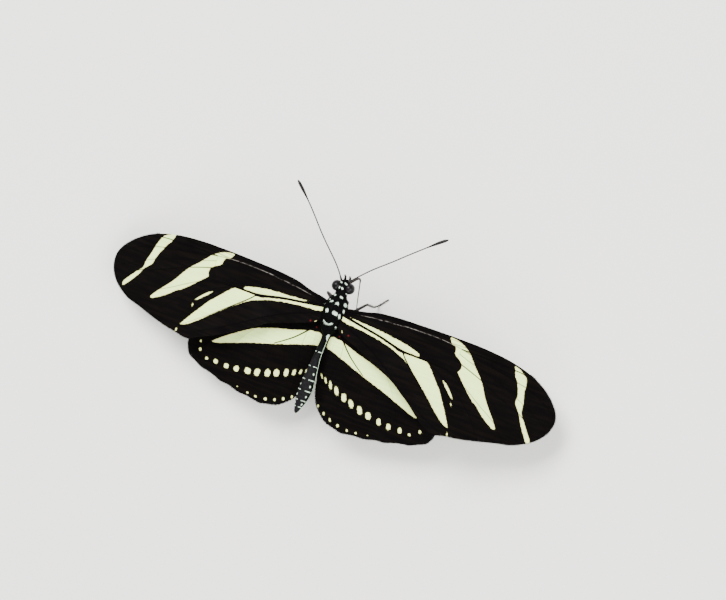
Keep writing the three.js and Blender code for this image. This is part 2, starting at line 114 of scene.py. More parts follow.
# How far each wing is drawn out along u, next to the outlines and veins below
STRETCH = {
    ("forewing", "right"): 0.99,
    ("forewing", "left"): 1.012,
    ("hindwing", "right"): 1.0,
    ("hindwing", "left"): 1.022,
}
# The part of each outline that carries a fringe, as shares of the way round it.
FRINGE = {"forewing": (0.36, 0.72), "hindwing": (0.16, 0.82)}

# Veins: path, widths at its two ends, and how dark the vein is before and after INK_FADE.
VEINS = {
    "forewing": [
        ([(-0.3, 0.85), (3.5, 1.6), (7, 2.45), (15, 2.95), (24, 3.08), (30, 2.75)], 0.44, 0.2, 1, 1),
        ([(-0.3, 0.6), (7, 2.0), (15, 2.48), (22, 2.68), (27, 3.0)], 0.3, 0.14, 1, 0.45),
        ([(-0.3, 0.3), (6.9, 1.4), (12.3, 1.9), (19.3, 1.9), (22.5, 1.55)], 0.4, 0.2, 1, 0.5),
        ([(19.3, 1.9), (25, 2.2), (31.5, 2.66)], 0.2, 0.14, 0.5, 0.5),
        ([(22.5, 1.55), (28, 1.5), (34, 1.3), (37.6, 0.75)], 0.24, 0.18, 1, 1),
        ([(22.5, 1.55), (28, 0.5), (33.2, -0.4), (37.8, -1.45), (42.4, -3.8)], 0.2, 0.16, 0.75, 0.75),
        ([(22.4, 0.6), (25, -0.2), (29, -1.2), (35, -3.3), (40.6, -5.9), (42.6, -7)], 0.18, 0.14, 0.6, 0.6),
        ([(22.5, 1.55), (22.4, 0.6), (22.2, -0.7), (21.2, -2.9)], 0.12, 0.12, 0.3, 0.3),
        ([(22.2, -0.7), (27.4, -2.4), (33, -4.7), (37.3, -6.3), (40.8, -9.5)], 0.22, 0.16, 0.9, 0.9),
        ([(-0.3, -0.2), (4, -0.95), (8, -1.6), (12.4, -2.55), (17.4, -2.7), (21.2, -2.9)], 0.5, 0.3, 1, 1),
        ([(21.2, -2.9), (24.9, -4.5), (29, -6.9), (32.7, -9), (35.7, -11.8)], 0.2, 0.12, 0.6, 0.6),
        ([(17.4, -2.7), (22.5, -5.3), (27.6, -8.9), (31, -13)], 0.22, 0.12, 0.6, 0.6),
        ([(12.4, -2.55), (13.6, -3.9), (17.4, -7.2), (20.5, -9.8), (26, -14)], 0.26, 0.12, 1, 0.35),
        ([(-0.3, -1.5), (4.5, -3.3), (9, -5.6), (14, -8.9), (19, -11.9), (24.2, -14.3)], 0.3, 0.14, 1, 1),
    ],
    "hindwing": [
        ([(-0.1, 0.3), (6, 0.2), (12, -1.7), (17.6, -5.6), (22.3, -11.8)], 0.28, 0.12, 0.6, 0.4),
        ([(-0.1, 0.05), (3, -0.6), (6, -1.6), (9.2, -3.4)], 0.32, 0.16, 0.6, 0.3),
        ([(9.2, -3.4), (12.5, -5), (17, -9.3), (19.4, -12.6), (21.1, -14.4)], 0.13, 0.1, 0.22, 0.2),
        ([(9.2, -3.4), (12.2, -7.2), (14.3, -11), (15.5, -13.6), (17.2, -16.1)], 0.13, 0.1, 0.24, 0.2),
        ([(9.2, -3.4), (8.4, -5.3), (10.1, -9), (11, -13.3), (12.1, -17.3)], 0.1, 0.1, 0.06, 0.06),
        ([(-0.1, -0.45), (1.4, -2.3), (3.1, -4.1), (4.8, -5.5), (6.6, -6.8)], 0.32, 0.2, 1, 0.9),
        ([(6.6, -6.8), (7, -9.3), (7.2, -12.7), (7.9, -18)], 0.14, 0.1, 0.4, 0.3),
        ([(4.8, -5.6), (4.1, -8.4), (3.8, -11.7), (4.3, -18)], 0.13, 0.1, 0.25, 0.2),
        ([(1.4, -2.3), (1.6, -6.3), (0.9, -10.4), (1.1, -16.4)], 0.14, 0.1, 0.4, 0.3),
        ([(-0.1, -0.8), (-0.45, -5), (-0.7, -9), (-0.6, -12.5), (0, -14.8)], 0.12, 0.1, 0.2, 0.2),
    ],
}
# Where each vein's darkness goes over from its first value to its second, along u
INK_FADE = {"forewing": (17.0, 20.0), "hindwing": (4.0, 12.0)}
# The forewing stem along which a painted highlight runs for part of its length
HIGHLIT_STEM = [(2, 0.75), (5, 1.25), (9.2, 1.6), (12.3, 1.9), (15.5, 2.0), (19.5, 1.9), (23.1, 1.3)]
HIGHLIGHT_HALF_WIDTH = 0.06
HIGHLIGHT_FADE = (2.0, 4.5, 19.0, 23.0)  # where it starts, is full, starts to end and ends, along u

# Pale stripes as closed outlines, not drawn out with the wing
OUTER_STRIPE = {
    "right": [
        (32.4, 2.1), (32.8, 1.2), (33.1, 0.4), (33.8, -0.5), (34.4, -1.7), (34.8, -2.9), (34.8, -4.1),
        (35.4, -5.0), (36.2, -5.95), (36.9, -7.2), (37.7, -8.4), (38.5, -9.5), (39.2, -10.4),
        (39.75, -10.4), (39.8, -9.8), (38.8, -8.5), (37.7, -7.1), (36.7, -5.8), (36.45, -4.8),
        (36.2, -3.4), (35.75, -1.9), (35.6, -0.6), (35.3, 0.5), (34.7, 1.1), (33.7, 1.75),
    ],
    "left": [
        (32.7, 2.6), (32.85, 1.7), (33.1, 0.95), (33.7, 0.2), (34.2, -0.9), (34.8, -2.1), (35.1, -3.4),
        (35.4, -4.3), (36.5, -5.4), (37.2, -6.7), (38, -7.9), (39.1, -9.3), (39.9, -9.95),
        (40, -9.1), (39.2, -8), (38, -6.55), (37, -5.45), (36.9, -4.3), (36.5, -2.6), (36.15, -1.2),
        (35.85, 0.1), (35.35, 1.2), (34.5, 2.0), (33.6, 2.4),
    ],
}
MIDDLE_STRIPE = [
    (19.6, 2.95), (20.2, 1.9), (21.0, 1.6), (21.3, 1), (21.4, 0.3), (22.6, -0.5), (23.3, -1.2),
    (23.3, -2.1), (23.1, -2.7), (24.2, -3.8), (25.4, -5), (26.4, -5.9), (27.4, -6.7),
    (28.5, -7.4), (29.4, -8.2), (30.5, -9), (32, -9.9), (33.1, -10.2), (32.7, -9.3),
    (31.2, -7.5), (29.7, -5.7), (29, -4.6), (28.2, -3.4), (27.3, -2.2), (26.2, -1.1),
    (24.8, 0.4), (23.8, 1.5), (22.5, 2.3), (21.2, 2.8),
]
INNER_STRIPE = {
    "right": [
        (0.9, -0.08), (2.1, -0.18), (3.1, -0.24), (4.8, -0.34), (7.2, -0.5), (9.5, -0.76), (12, -1.07),
        (14.8, -1.75), (15.5, -2.2), (15.2, -2.5), (13.5, -2.45), (12.1, -2.4), (8.4, -1.65),
        (5, -1.08), (3.3, -0.78), (2.1, -0.5),
    ],
    "left": [
        (2.7, -0.3), (4.1, -0.43), (5.1, -0.49), (6.6, -0.62), (9.5, -0.8), (12, -1.1), (14.8, -1.78),
        (15.5, -2.2), (15.2, -2.5), (13.5, -2.45), (12.1, -2.4), (8.4, -1.72), (6.3, -1.3),
        (4.9, -0.98), (3.9, -0.75),
    ],
}
LOWER_STRIPE = [
    (0.9, -0.3), (1.5, -0.5), (2.4, -0.75), (5.1, -1.25), (7.8, -1.8), (10.4, -2.45), (12.1, -2.9),
    (15.2, -2.65), (16.9, -2.75), (17.9, -3.4), (19, -4.6), (20.3, -6), (21.2, -7),
    (22.5, -8.9), (23.8, -10.8), (24.6, -12.1), (24.9, -12.85), (23.5, -12.3), (21.8, -11),
    (19.8, -9.2), (18.2, -7.8), (15.6, -5.7), (13.5, -4.15), (11.9, -3.45), (10.2, -2.85),
    (8, -2.3), (5, -1.8), (3, -1.62), (2.1, -1.5), (1.6, -1.2),
]
BASE_PATCH = [
    (-0.5, -0.35), (0.4, -0.4), (0.9, -0.6), (1.5, -1.05), (1.9, -1.45), (1.2, -1.5), (0.3, -1.3),
    (-0.4, -1.05),
]
RAGGED_FLECK = [
    (21.0, -4.8), (21.9, -5.4), (22.7, -6.1), (23.5, -6.95), (23.95, -7.6), (23.6, -7.55),
    (22.9, -6.95), (22.1, -6.2), (21.3, -5.4),
]
HINDWING_STRIPE = [
    (-1.25, -1.95), (0.1, -1.95), (1.3, -2.15), (4.3, -3.2), (7, -3.9), (9.7, -4.85),
    (11.6, -5.65), (13.6, -6.95), (15.7, -8.4), (17.2, -9.55), (18.5, -10.75), (17.3, -10.65),
    (15.6, -10.05), (13.6, -9.3), (11.5, -8.5), (9.6, -7.9), (6.8, -7), (4.6, -6.25),
    (3.1, -5.7), (1.2, -5.05), (-0.4, -4.5), (-1.4, -4.2), (-1.5, -3.1),
]
STRIPES = {
    "forewing": [MIDDLE_STRIPE, LOWER_STRIPE, BASE_PATCH, RAGGED_FLECK],
    "hindwing": [HINDWING_STRIPE],
}
# Pale spots: middle, half length and half width. A long half lies along SPOT_AXIS.
SPOT_AXIS = {"right": (0.42, -0.9), "left": (0.04, -1)}
# Factors on the half length and half width of the spots
SPOT_SHAPE = {"right": (1.0, 1.1), "left": (0.86, 1.32)}
SQUARENESS = 2.6  # 2 is an oval, more is nearer a rectangle
SPOTS = {
    "forewing": [((24.0, -8.6), 0.4, 0.12), ((25.3, -14.05), 0.45, 0.13)],
    "hindwing": [
        ((-0.65, -9.6), 0.55, 0.15), ((0.3, -10.15), 0.68, 0.19), ((1.4, -10.7), 0.8, 0.26),
        ((2.8, -11.3), 0.88, 0.34), ((4.5, -12), 0.82, 0.42), ((6.1, -12.6), 0.84, 0.39),
        ((8, -13.2), 0.9, 0.41), ((9.8, -13.6), 0.7, 0.46), ((12, -14), 0.68, 0.38),
        ((14, -14.2), 0.58, 0.38), ((16.2, -14.1), 0.54, 0.34), ((18.1, -14.2), 0.32, 0.24),
        ((19.8, -13), 0.38, 0.24), ((20.2, -11.5), 0.28, 0.16),
        ((0.4, -15.25), 0.34, 0.18), ((1.8, -16.15), 0.36, 0.21), ((3.3, -16.95), 0.35, 0.2),
        ((5, -17.45), 0.33, 0.23), ((6.9, -17.65), 0.26, 0.2), ((8.6, -17.5), 0.2, 0.18),
        ((10.8, -17.1), 0.14, 0.11),
    ],
}
# Small marks at the roots of the wings: middle and radius
ROOT_MARKS = {
    "right": [((0.72, -3.22), 0.15), ((0.55, -2.97), 0.12)],
    "left": [((0.32, -3.42), 0.15), ((0.15, -3.17), 0.12)],
}
RED_SPOTS = {
    ("forewing", "right"): ((2.0, -3.4), 0.18),
    ("forewing", "left"): ((1.2, -3.6), 0.2),
    ("hindwing", "right"): ((0.2, -1.4), 0.16),
    ("hindwing", "left"): ((0.0, -1.1), 0.16),
}
SPOT_VARIATION = 0.06  # share by which the spots differ in size, and radians by which they are turned
FLAT_MAP_WIDTH = 50.0  # mm of wing across the whole of its UV map
FLAT_MAP_CORNER = (0.05, 0.5)  # where a wing's hinge lies on its UV map
VEIN_FOLD_WIDTH = 0.45
VEIN_STEP = 0.3
FRINGE_STEP = 0.11
FRINGE_WIDTH = 0.075

# Body
# Body coordinates: x from the midline to the butterfly's right, y towards the head, z up from the
# wing bases.

EYES_TO_WING_BASE = (0.0, 6.95, -0.55)
BODY = [
    # y, x and z of the middle line, half width and half depth
    (8.5, 0.12, -0.75, 0.16, 0.2), (8.45, 0.12, -0.75, 0.45, 0.55), (8.1, 0.1, -0.75, 0.85, 1.0),
    (7.5, 0.08, -0.72, 1.15, 1.3), (6.8, 0.04, -0.72, 1.22, 1.38), (6.2, 0.02, -0.78, 1.22, 1.26),
    (5.7, 0.02, -0.85, 1.24, 1.2), (5.4, 0.04, -0.88, 1.27, 1.22), (5.15, 0.05, -0.9, 1.38, 1.32),
    (4.85, 0.04, -0.92, 1.62, 1.58), (4.2, 0, -1.0, 1.95, 2.0), (3.2, 0, -1.1, 2.3, 2.4),
    (1.8, 0, -1.15, 2.45, 2.6), (0.4, 0, -1.1, 2.3, 2.4), (-0.8, 0, -1.0, 1.85, 1.95),
    (-1.7, 0, -0.95, 1.3, 1.35), (-2.2, 0, -0.92, 0.88, 0.92), (-2.6, 0.02, -0.92, 0.74, 0.85),
    (-3.6, -0.02, -0.95, 0.74, 0.92), (-5.4, -0.12, -1.0, 0.76, 1.0), (-7.4, -0.18, -1.06, 0.9, 1.1),
    (-9.2, -0.12, -1.12, 1.08, 1.18), (-11.2, -0.1, -1.2, 1.32, 1.33), (-12.8, -0.08, -1.29, 1.46, 1.38),
    (-14.4, -0.15, -1.4, 1.36, 1.24), (-15.9, -0.28, -1.54, 1.04, 0.92), (-17.1, -0.39, -1.65, 0.66, 0.6),
    (-17.65, -0.44, -1.69, 0.42, 0.4), (-17.84, -0.46, -1.7, 0.12, 0.14),
]
ABDOMEN_FRONT = -2.6
# A plate's size as a factor: at its front, and what its tucked front edge and its length add
PLATE_FRONT = 0.955
PLATE_TUCK = 0.035
PLATE_SWELL = 0.02
SEGMENT_ENDS = (-3.4, -5.85, -8.7, -11.25, -13.4, -15.3, -16.6)
ABDOMEN_ROLL = 12.0  # degrees that the abdomen's pattern is turned to the left
BARS = (20.0, 70.0)  # degrees from the middle of the back, for the bars, spots and lines of the abdomen
BAR_HALF_WIDTH = 0.055
FIRST_SPOT = -9.0  # no pale spots on the back ahead of this
BACK_SPOTS = 48.0
SIDE_LINE = 90.0
SIDE_LINE_HALF_WIDTH = 0.1
SIDE_LINE_BEADS = 0.05  # how far the beads of the side line stand out from it
BELLY_LINE = 150.0
BELLY_LINE_HALF_WIDTH = 0.14
BACK_SPOT_RADIUS = 0.14
GREY_BACK = 60.0  # the grey of the back reaches this far down the sides
# Coats: spacing of the strands, first and last y, half width of a strand, and how steeply it stands
COAT = {
    "thorax_hair": (0.13, -2.4, 5.2, 0.035, 0.55),
    "head_hair": (0.11, 5.2, 8.6, 0.028, 0.6),
    "abdomen_scales": (0.13, -17.4, -2.4, 0.05, 0.22),
}
HEAD_TIP = 8.6  # y just ahead of the head
SKIN_LENGTH = 26.4
UNWRAP_SHARE = 0.96  # the part of the UV map that the skin fills, each way
STRAND_PATCH = 0.003  # size of a strand's patch on the unwrapped skin
SKIN_GRID = 0.09
SKIN_SIDES = 96
EYE_MIDDLE = (1.22, 6.95, -0.55)
EYE_TURN = 0.07
EYE_RADII = (0.99, 1.04, 1.19)

# Pale marks on the back, seen from above: path and half width.
BACK_MARKS = [
    ([(-0.85, 7.8), (-0.4, 7.66)], 0.12), ([(0.28, 7.76), (0.72, 7.58)], 0.11),
    ([(-0.55, 6.74), (-0.47, 6.7)], 0.17), ([(0.06, 6.7), (0.14, 6.64)], 0.17),
    ([(0.8, 7.06), (0.82, 6.9)], 0.08), ([(1.1, 6.38), (1.02, 5.98)], 0.1),
    ([(-1.12, 6.28), (-1.1, 6.18)], 0.09),
    ([(-0.85, 5.16), (-0.77, 5.13)], 0.15), ([(0.38, 5.13), (0.64, 5.02)], 0.15),
    ([(-1.02, 3.74), (-0.74, 3.94)], 0.13), ([(0.13, 3.72), (0.3, 3.86), (0.44, 3.7)], 0.18),
    ([(1.58, 4.12), (1.7, 3.88)], 0.19), ([(-1.42, 4.02), (-1.3, 4.06)], 0.09),
    ([(-2.1, 3.04), (-2.0, 3.1)], 0.12), ([(-1.1, 2.05), (-1.02, 1.9)], 0.28),
    ([(0.35, 1.98), (0.75, 1.9)], 0.32), ([(1.38, 1.9), (1.52, 1.45)], 0.16),
    ([(1.8, 2.95), (1.86, 2.66)], 0.12),
    ([(-1.01, 0.03), (-0.6, -0.3), (-0.1, -0.36), (0.36, -0.21), (0.79, 0.07)], 0.1),
    ([(1.4, -0.36), (1.46, -0.5)], 0.12),
    ([(0.68, -2.5), (0.78, -2.98)], 0.36),
]

# Limbs: points along the middle line, with the butterfly's right side as drawn.
ANTENNA = {
    "left": [
        (-0.62, 7.85, -0.3), (-0.85, 8.27, -0.12), (-2.58, 10.55, 0.58), (-6.36, 14.43, 1.86),
        (-9.76, 18.29, 2.96), (-12.14, 20.75, 3.58), (-14.03, 22.5, 3.9),
    ],
    "right": [
        (0.7, 7.85, -0.3), (1.0, 8.5, -0.08), (4.09, 11.58, 0.89), (7.27, 14.25, 1.84),
        (10.4, 16.98, 2.72), (14.31, 20.29, 3.64), (16.05, 21.59, 3.9),
    ],
}
# Places on an antenna, as shares of its length: its club, the club's tip and the thick first segment
CLUB_START = 0.78
CLUB_GROWTH = 0.14
CLUB_TIP = 0.035
ROOT_PLACE = 0.02
ROOT_SWELL = 0.11  # what the first segment adds to the radius
RING_TURN = math.pi * 0.66  # angle from one point to the next in the waves that make the rings
PALP_BRISTLES = 90
PALP = [(0.41, 7.9, -1.3), (0.47, 8.75, -1.05), (0.48, 9.05, -0.3), (0.46, 9.15, 0.25)]
PALP_OUT_OF_LINE = 0.12
PROBOSCIS = [
    (0.2, 7.3, -1.8), (0.8, 8.25, -2.15), (1.45, 8.98, -1.95), (1.98, 9.38, -1.7), (2.26, 9.22, -1.95),
    (2.3, 8.3, -3.1), (2.4, 6.6, -4.6), (2.54, 4.4, -6.7), (2.62, 2.9, -8.3),
]
FLOOR = -13.0
FOOT_HEIGHT = 2.2  # a leg's foot, with its beads, starts this far above the floor
SOLE = 0.16  # height of the middle line of a foot above the floor
BOTH_HINDLEGS = [
    (1.1, -0.4, -2.3), (1.45, -0.8, -3.3), (4.2, -4.6, -4.6), (5.6, -8.9, -10.9),
    (6.0, -9.9, FLOOR + SOLE + 0.04), (6.9, -12.6, FLOOR + SOLE),
]
# Each leg has x outwards. The right foreleg is held closer than the left one.
LEGS = {
    ("midleg", "right"): [
        (1.2, 1.6, -2.6), (1.65, 2.0, -3.5), (4.65, 5.45, -4.2), (4.95, 5.4, -10.8),
        (5.2, 5.9, FLOOR + SOLE + 0.04), (6.7, 7.75, FLOOR + SOLE),
    ],
    ("midleg", "left"): [
        (1.2, 1.6, -2.6), (1.65, 1.9, -3.5), (4.4, 3.6, -4.1), (6.3, 2.9, -10.8),
        (7.0, 3.2, FLOOR + SOLE + 0.04), (9.0, 4.2, FLOOR + SOLE),
    ],
    ("hindleg", "right"): BOTH_HINDLEGS,
    ("hindleg", "left"): BOTH_HINDLEGS,
    ("foreleg", "right"): [(0.6, 3.9, -2.2), (0.8, 4.25, -3.2), (1.2, 4.75, -4.1), (1.0, 3.4, -4.9)],
    ("foreleg", "left"): [(0.6, 3.9, -2.2), (1.1, 4.3, -3.1), (3.05, 5.2, -3.3), (2.25, 4.2, -4.8)],
}

LEG_WIDTHS = [0.3, 0.28, 0.22, 0.16, 0.13, 0.1]  # radius at root, hip, knee, ankle, heel and toe

# Camera: the photo's own view, nearly straight down on the wings.
VIEW_TILT = 10.0
VIEW_ROLL = 20.3
VIEW_DISTANCE = 520.0
PHOTO_SIZE = (726, 600)
PHOTO_MM_PER_PIXEL = 0.183
PHOTO_MIDDLE = (4.37, 5.99, 0.0)  # the point on the wing base's level at the middle of the photo
SENSOR_WIDTH = 36.0

# Stage, in metres and watts: each light's place from the middle of the body, its size and its power
LIGHTS = {
    "key": ((-0.28, 0.3, 0.6), 0.35, 12.8),
    "fill": ((0.5, -0.1, 0.45), 0.5, 5.8),
    "back": ((0.1, -0.55, 0.35), 0.4, 3.1),
}
FLOOR_HALF_WIDTH = 1.5
SKY = "#EEF1F4"
SKY_STRENGTH = 0.95


def linear(hex_colour):
    """A linear RGBA colour from an sRGB hex string."""
    channels = [int(hex_colour[i : i + 2], 16) / 255 for i in (1, 3, 5)]
    curve = [c / 12.92 if c <= 0.04045 else ((c + 0.055) / 1.055) ** 2.4 for c in channels]
    return (*curve, 1.0)


def length(name, default, description):
    """A length setting in metres, with its default given in mm."""
    return FloatProperty(
        name=name, description=description, default=default * MM, min=0, unit="LENGTH", precision=5
    )


def colour(name, default, description):
    """A colour setting, with its default given as an sRGB hex string."""
    return FloatVectorProperty(
        name=name,
        description=description,
        default=linear(default),
        size=4,
        min=0,
        max=1,
        subtype="COLOR",
    )


class LongwingSizes(bpy.types.PropertyGroup):
    membrane: length("Membrane", 0.16, "Thickness of a wing between its veins")
    grid: length("Wing grid", 0.17, "Size of a face of a wing")
    ridge: length("Vein fold", 0.07, "How far the membrane rises to each vein")
    fringe: length("Fringe", 0.34, "Length of the fringe on the outer wing edges")
    coat_depth: length("Coat depth", 0.1, "How far the skin lies under the CAD surface")
    thorax_hair: length("Thorax hair", 0.36, "Length of the hair on the thorax")
    head_hair: length("Head hair", 0.26, "Length of the hair on the head")
    abdomen_scale: length("Abdomen scale", 0.17, "Length of the scales on the abdomen")
    antenna: length("Antenna", 0.12, "Radius of an antenna's shaft")
    club: length("Antenna club", 0.29, "Radius of an antenna's club")
    proboscis: length("Proboscis", 0.22, "Radius of the proboscis at its root")


class LongwingColours(bpy.types.PropertyGroup):
    black: colour("Black scales", "#040303", "Dark ground of the wings")
    brown: colour("Brown scales", "#0F0B08", "Browner streaks in the dark ground")
    pale: colour("Pale scales", "#DEFC9C", "Pale stripes and spots")
    cream: colour("Cream scales", "#F0DC94", "Warmer edges of the pale stripes")
    # Also the grey of the painted shade in the folds across the pale stripes
    vein: colour("Vein", "#7E8068", "Veins where they cross a pale stripe")
    # Painted highlight colour: the shine along a forewing stem, and an even painted sheen on legs and
    # proboscis
    glint: colour("Vein highlight", "#A79E95", "The thinly scaled vein along the forewing")
    red: colour("Red spots", "#4A0D10", "Small spots at the roots of the wings")
    mark: colour("Body marks", "#CFE4CE", "Pale marks of head, thorax and abdomen")
    coat: colour("Coat", "#030303", "Hair and scales of the body")
    # Also the grey of the painted sheen patches on the eyes
    abdomen: colour("Abdomen", "#1D1C1E", "Scales on the back of the abdomen")
    eye: colour("Eye", "#050304", "Compound eyes")
    cuticle: colour("Cuticle", "#0D0807", "Antennae, legs and proboscis")
    floor: colour("Floor", "#E7E5E0", "Pale floor")


# Curves and outlines


def spline(points, steps, closed=False):
    """Points along a smooth curve that passes through the given ones."""
    p = np.array(points, float)
    if closed:
        p = np.vstack([p[-1], p, p[:2]])
    else:
        p = np.vstack([2 * p[0] - p[1], p, 2 * p[-1] - p[-2]])
    t = (np.arange(steps) / steps)[:, None]
    parts = [
        0.5 * (2 * b + (c - a) * t + (2 * a - 5 * b + 4 * c - d) * t**2 + (3 * b - a - 3 * c + d) * t**3)
        for a, b, c, d in zip(p, p[1:], p[2:], p[3:])
    ]
    if not closed:
        parts.append(p[-2:-1])
    return np.vstack(parts)


def nearest(at, path):
    """The distance from each point to a path, and the nearest point on it."""
    best = np.full(len(at), np.inf)
    found = np.zeros_like(at)
    for p, q in zip(path, path[1:]):
        run = q - p
        share = np.clip(((at - p) @ run) / max(run @ run, 1e-12), 0, 1)
        foot = p + share[:, None] * run
        away = np.linalg.norm(at - foot, axis=1)
        closer = away < best
        best[closer] = away[closer]
        found[closer] = foot[closer]
    return best, found


def depth_inside(at, outline):
    """How far each point lies inside a closed outline: below 0 outside it."""
    ring = np.vstack([outline, outline[:1]])
    inside = np.zeros(len(at), bool)
    for p, q in zip(ring, ring[1:]):
        crosses = (p[1] > at[:, 1]) != (q[1] > at[:, 1])
        if crosses.any():
            reach = p[0] + (at[:, 1] - p[1]) * (q[0] - p[0]) / (q[1] - p[1])
            inside ^= crosses & (at[:, 0] < reach)
    away, _ = nearest(at, ring)
    return np.where(inside, away, -away)


def depth_in_spot(at, middle, long, wide, angle):
    """How far each point lies inside a rounded oblong whose long half lies at an angle from u."""
    axis = np.array([math.cos(angle), math.sin(angle)])
    along = np.abs((at - middle) @ axis) / long
    across = np.abs((at - middle) @ np.array([-axis[1], axis[0]])) / wide
    reach = (along**SQUARENESS + across**SQUARENESS) ** (1 / SQUARENESS)
    return (1 - reach) * min(long, wide)


def resample(path, gap):
    """The same path with points at an even spacing of about gap."""
    steps = np.linalg.norm(np.diff(path, axis=0), axis=1)
    run = np.concatenate([[0], np.cumsum(steps)])
    count = max(int(round(run[-1] / gap)), 2)
    at = np.linspace(0, run[-1], count + 1)
    return np.stack([np.interp(at, run, path[:, k]) for k in range(path.shape[1])], axis=1), at / run[-1]


# Meshes


def surface(bm, rings):
    """Adds a closed skin through rings of points (rings x points x 3), and returns its vertices."""
    count, around = rings.shape[:2]
    made = bmesh.ops.create_grid(bm, x_segments=count - 1, y_segments=around, size=1)["verts"]
    flat = np.array([v.co[:2] for v in made])
    low, high = flat.min(0), flat.max(0)
    place = np.rint((flat - low) / (high - low) * (count - 1, around)).astype(int)
    for v, (i, j) in zip(made, place):
        v.co = rings[i, j % around]
    seam = [v for v, (i, j) in zip(made, place) if j in (0, around)]
    bmesh.ops.remove_doubles(bm, verts=seam, dist=1e-4)
    kept = [v for v in made if v.is_valid]
    open_edges = {e for v in kept for e in v.link_edges if e.is_boundary}
    bmesh.ops.holes_fill(bm, edges=list(open_edges), sides=0)
    return kept


def ring_directions(path):
    """For each point of a path, two directions across it that turn as little as possible."""
    along = np.gradient(path, axis=0)
    along /= np.linalg.norm(along, axis=1)[:, None]
    first = np.cross(along[0], (0, 0, 1) if abs(along[0][2]) < 0.9 else (1, 0, 0))
    rows = []
    for direction in along:
        first = first - direction * (first @ direction)
        first = first / np.linalg.norm(first)
        rows.append((first, np.cross(direction, first)))
    return np.array(rows)


def tube(bm, path, radii, sides=12, flatten=1.0):
    """Adds a tube along a path, with a radius for each point."""
    across = ring_directions(path)
    angles = np.arange(sides) / sides * 2 * math.pi
    rings = (
        path[:, None, :]
        + radii[:, None, None] * np.cos(angles)[None, :, None] * across[:, :1, :]
        + flatten * radii[:, None, None] * np.sin(angles)[None, :, None] * across[:, 1:, :]
    )
    return surface(bm, rings)


def repeated(template, count):
    """A bmesh with count copies of a mesh, one after the other. Empties the template."""
    copies = bmesh.new()
    while count:
        if count % 2:
            copies.from_mesh(template)
        count //= 2
        double = bmesh.new()
        double.from_mesh(template)
        double.from_mesh(template)
        double.to_mesh(template)
        double.free()
    bpy.data.meshes.remove(template)
    return copies


def spike(sides, levels):
    """A spike of height 1 and root radius 1, as a mesh."""
    bm = bmesh.new()
    heights = np.linspace(0, 1, levels + 1)
    widths = np.sqrt(1 - 0.97 * heights)
    path = np.stack([heights * 0, heights * 0, heights], axis=1)
    tube(bm, path, widths, sides)
    mesh = bpy.data.meshes.new("spike")
    bm.to_mesh(mesh)
    bm.free()
    return mesh


def points_of(mesh):
    """A mesh's vertices as an array."""
    co = np.empty(len(mesh.vertices) * 3, np.float32)
    mesh.vertices.foreach_get("co", co)
    return co.reshape(-1, 3).astype(float)


def move_to(mesh, at_mm):
    """Moves a mesh's vertices to places in mm."""
    mesh.vertices.foreach_set("co", (at_mm * MM).astype(np.float32).ravel())
    mesh.update()


def set_values(mesh, name, values):
    """Writes one number for each vertex, which a material can read."""
    layer = mesh.attributes.new(name, "FLOAT", "POINT")
    layer.data.foreach_set("value", np.asarray(values, np.float32))


def set_map(mesh, name, at_vertices):
    """Writes a UV map from a place for each vertex."""
    corners = np.empty(len(mesh.loops), np.int32)
    mesh.loops.foreach_get("vertex_index", corners)
    layer = mesh.uv_layers.new(name=name)
    layer.data.foreach_set("uv", at_vertices[corners].astype(np.float32).ravel())


def new_object(name, bm, materials):
    """Turns a bmesh into an object in the scene, with its faces outward and shaded smooth."""
    bmesh.ops.recalc_face_normals(bm, faces=bm.faces)
    mesh = bpy.data.meshes.new(name)
    bm.to_mesh(mesh)
    bm.free()
    made = bpy.data.objects.new(name, mesh)
    bpy.context.scene.collection.objects.link(made)
    for material in materials:
        mesh.materials.append(material)
    mesh.shade_smooth()
    return made


def belongs(made, slot, *nodes):
    """Ties a finished piece to the CAD frame."""
    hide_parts(*nodes)
    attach(made, "root")


def body_middle():
    """Where body coordinates start, in mm in the row frame, found from the CAD eyes."""
    corners = [list(corner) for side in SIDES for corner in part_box(f"eye_{side}")]
    middle = (np.min(corners, axis=0) + np.max(corners, axis=0)) / 2
    return middle / MM - EYES_TO_WING_BASE


# Materials


def add(tree, kind, **settings):
    """Adds a shader node with its settings and links, and returns its outputs. A setting is a property
    of the node or one of its inputs, by name with _ for a space or by number after in_."""
    made = tree.nodes.new(kind)
    for name, value in settings.items():
        if hasattr(made, name):
            setattr(made, name, value)
            continue
        number = name.removeprefix("in_")
        place = made.inputs[int(number) if number.isdigit() else name.replace("_", " ")]
        if isinstance(value, bpy.types.NodeSocket):
            tree.links.new(value, place)
        else:
            place.default_value = value
    return made.outputs


def new_material(name):
    """An empty material and its node tree."""
    material = bpy.data.materials.new(name)
    material.use_nodes = True
    material.node_tree.nodes.clear()
    return material, material.node_tree


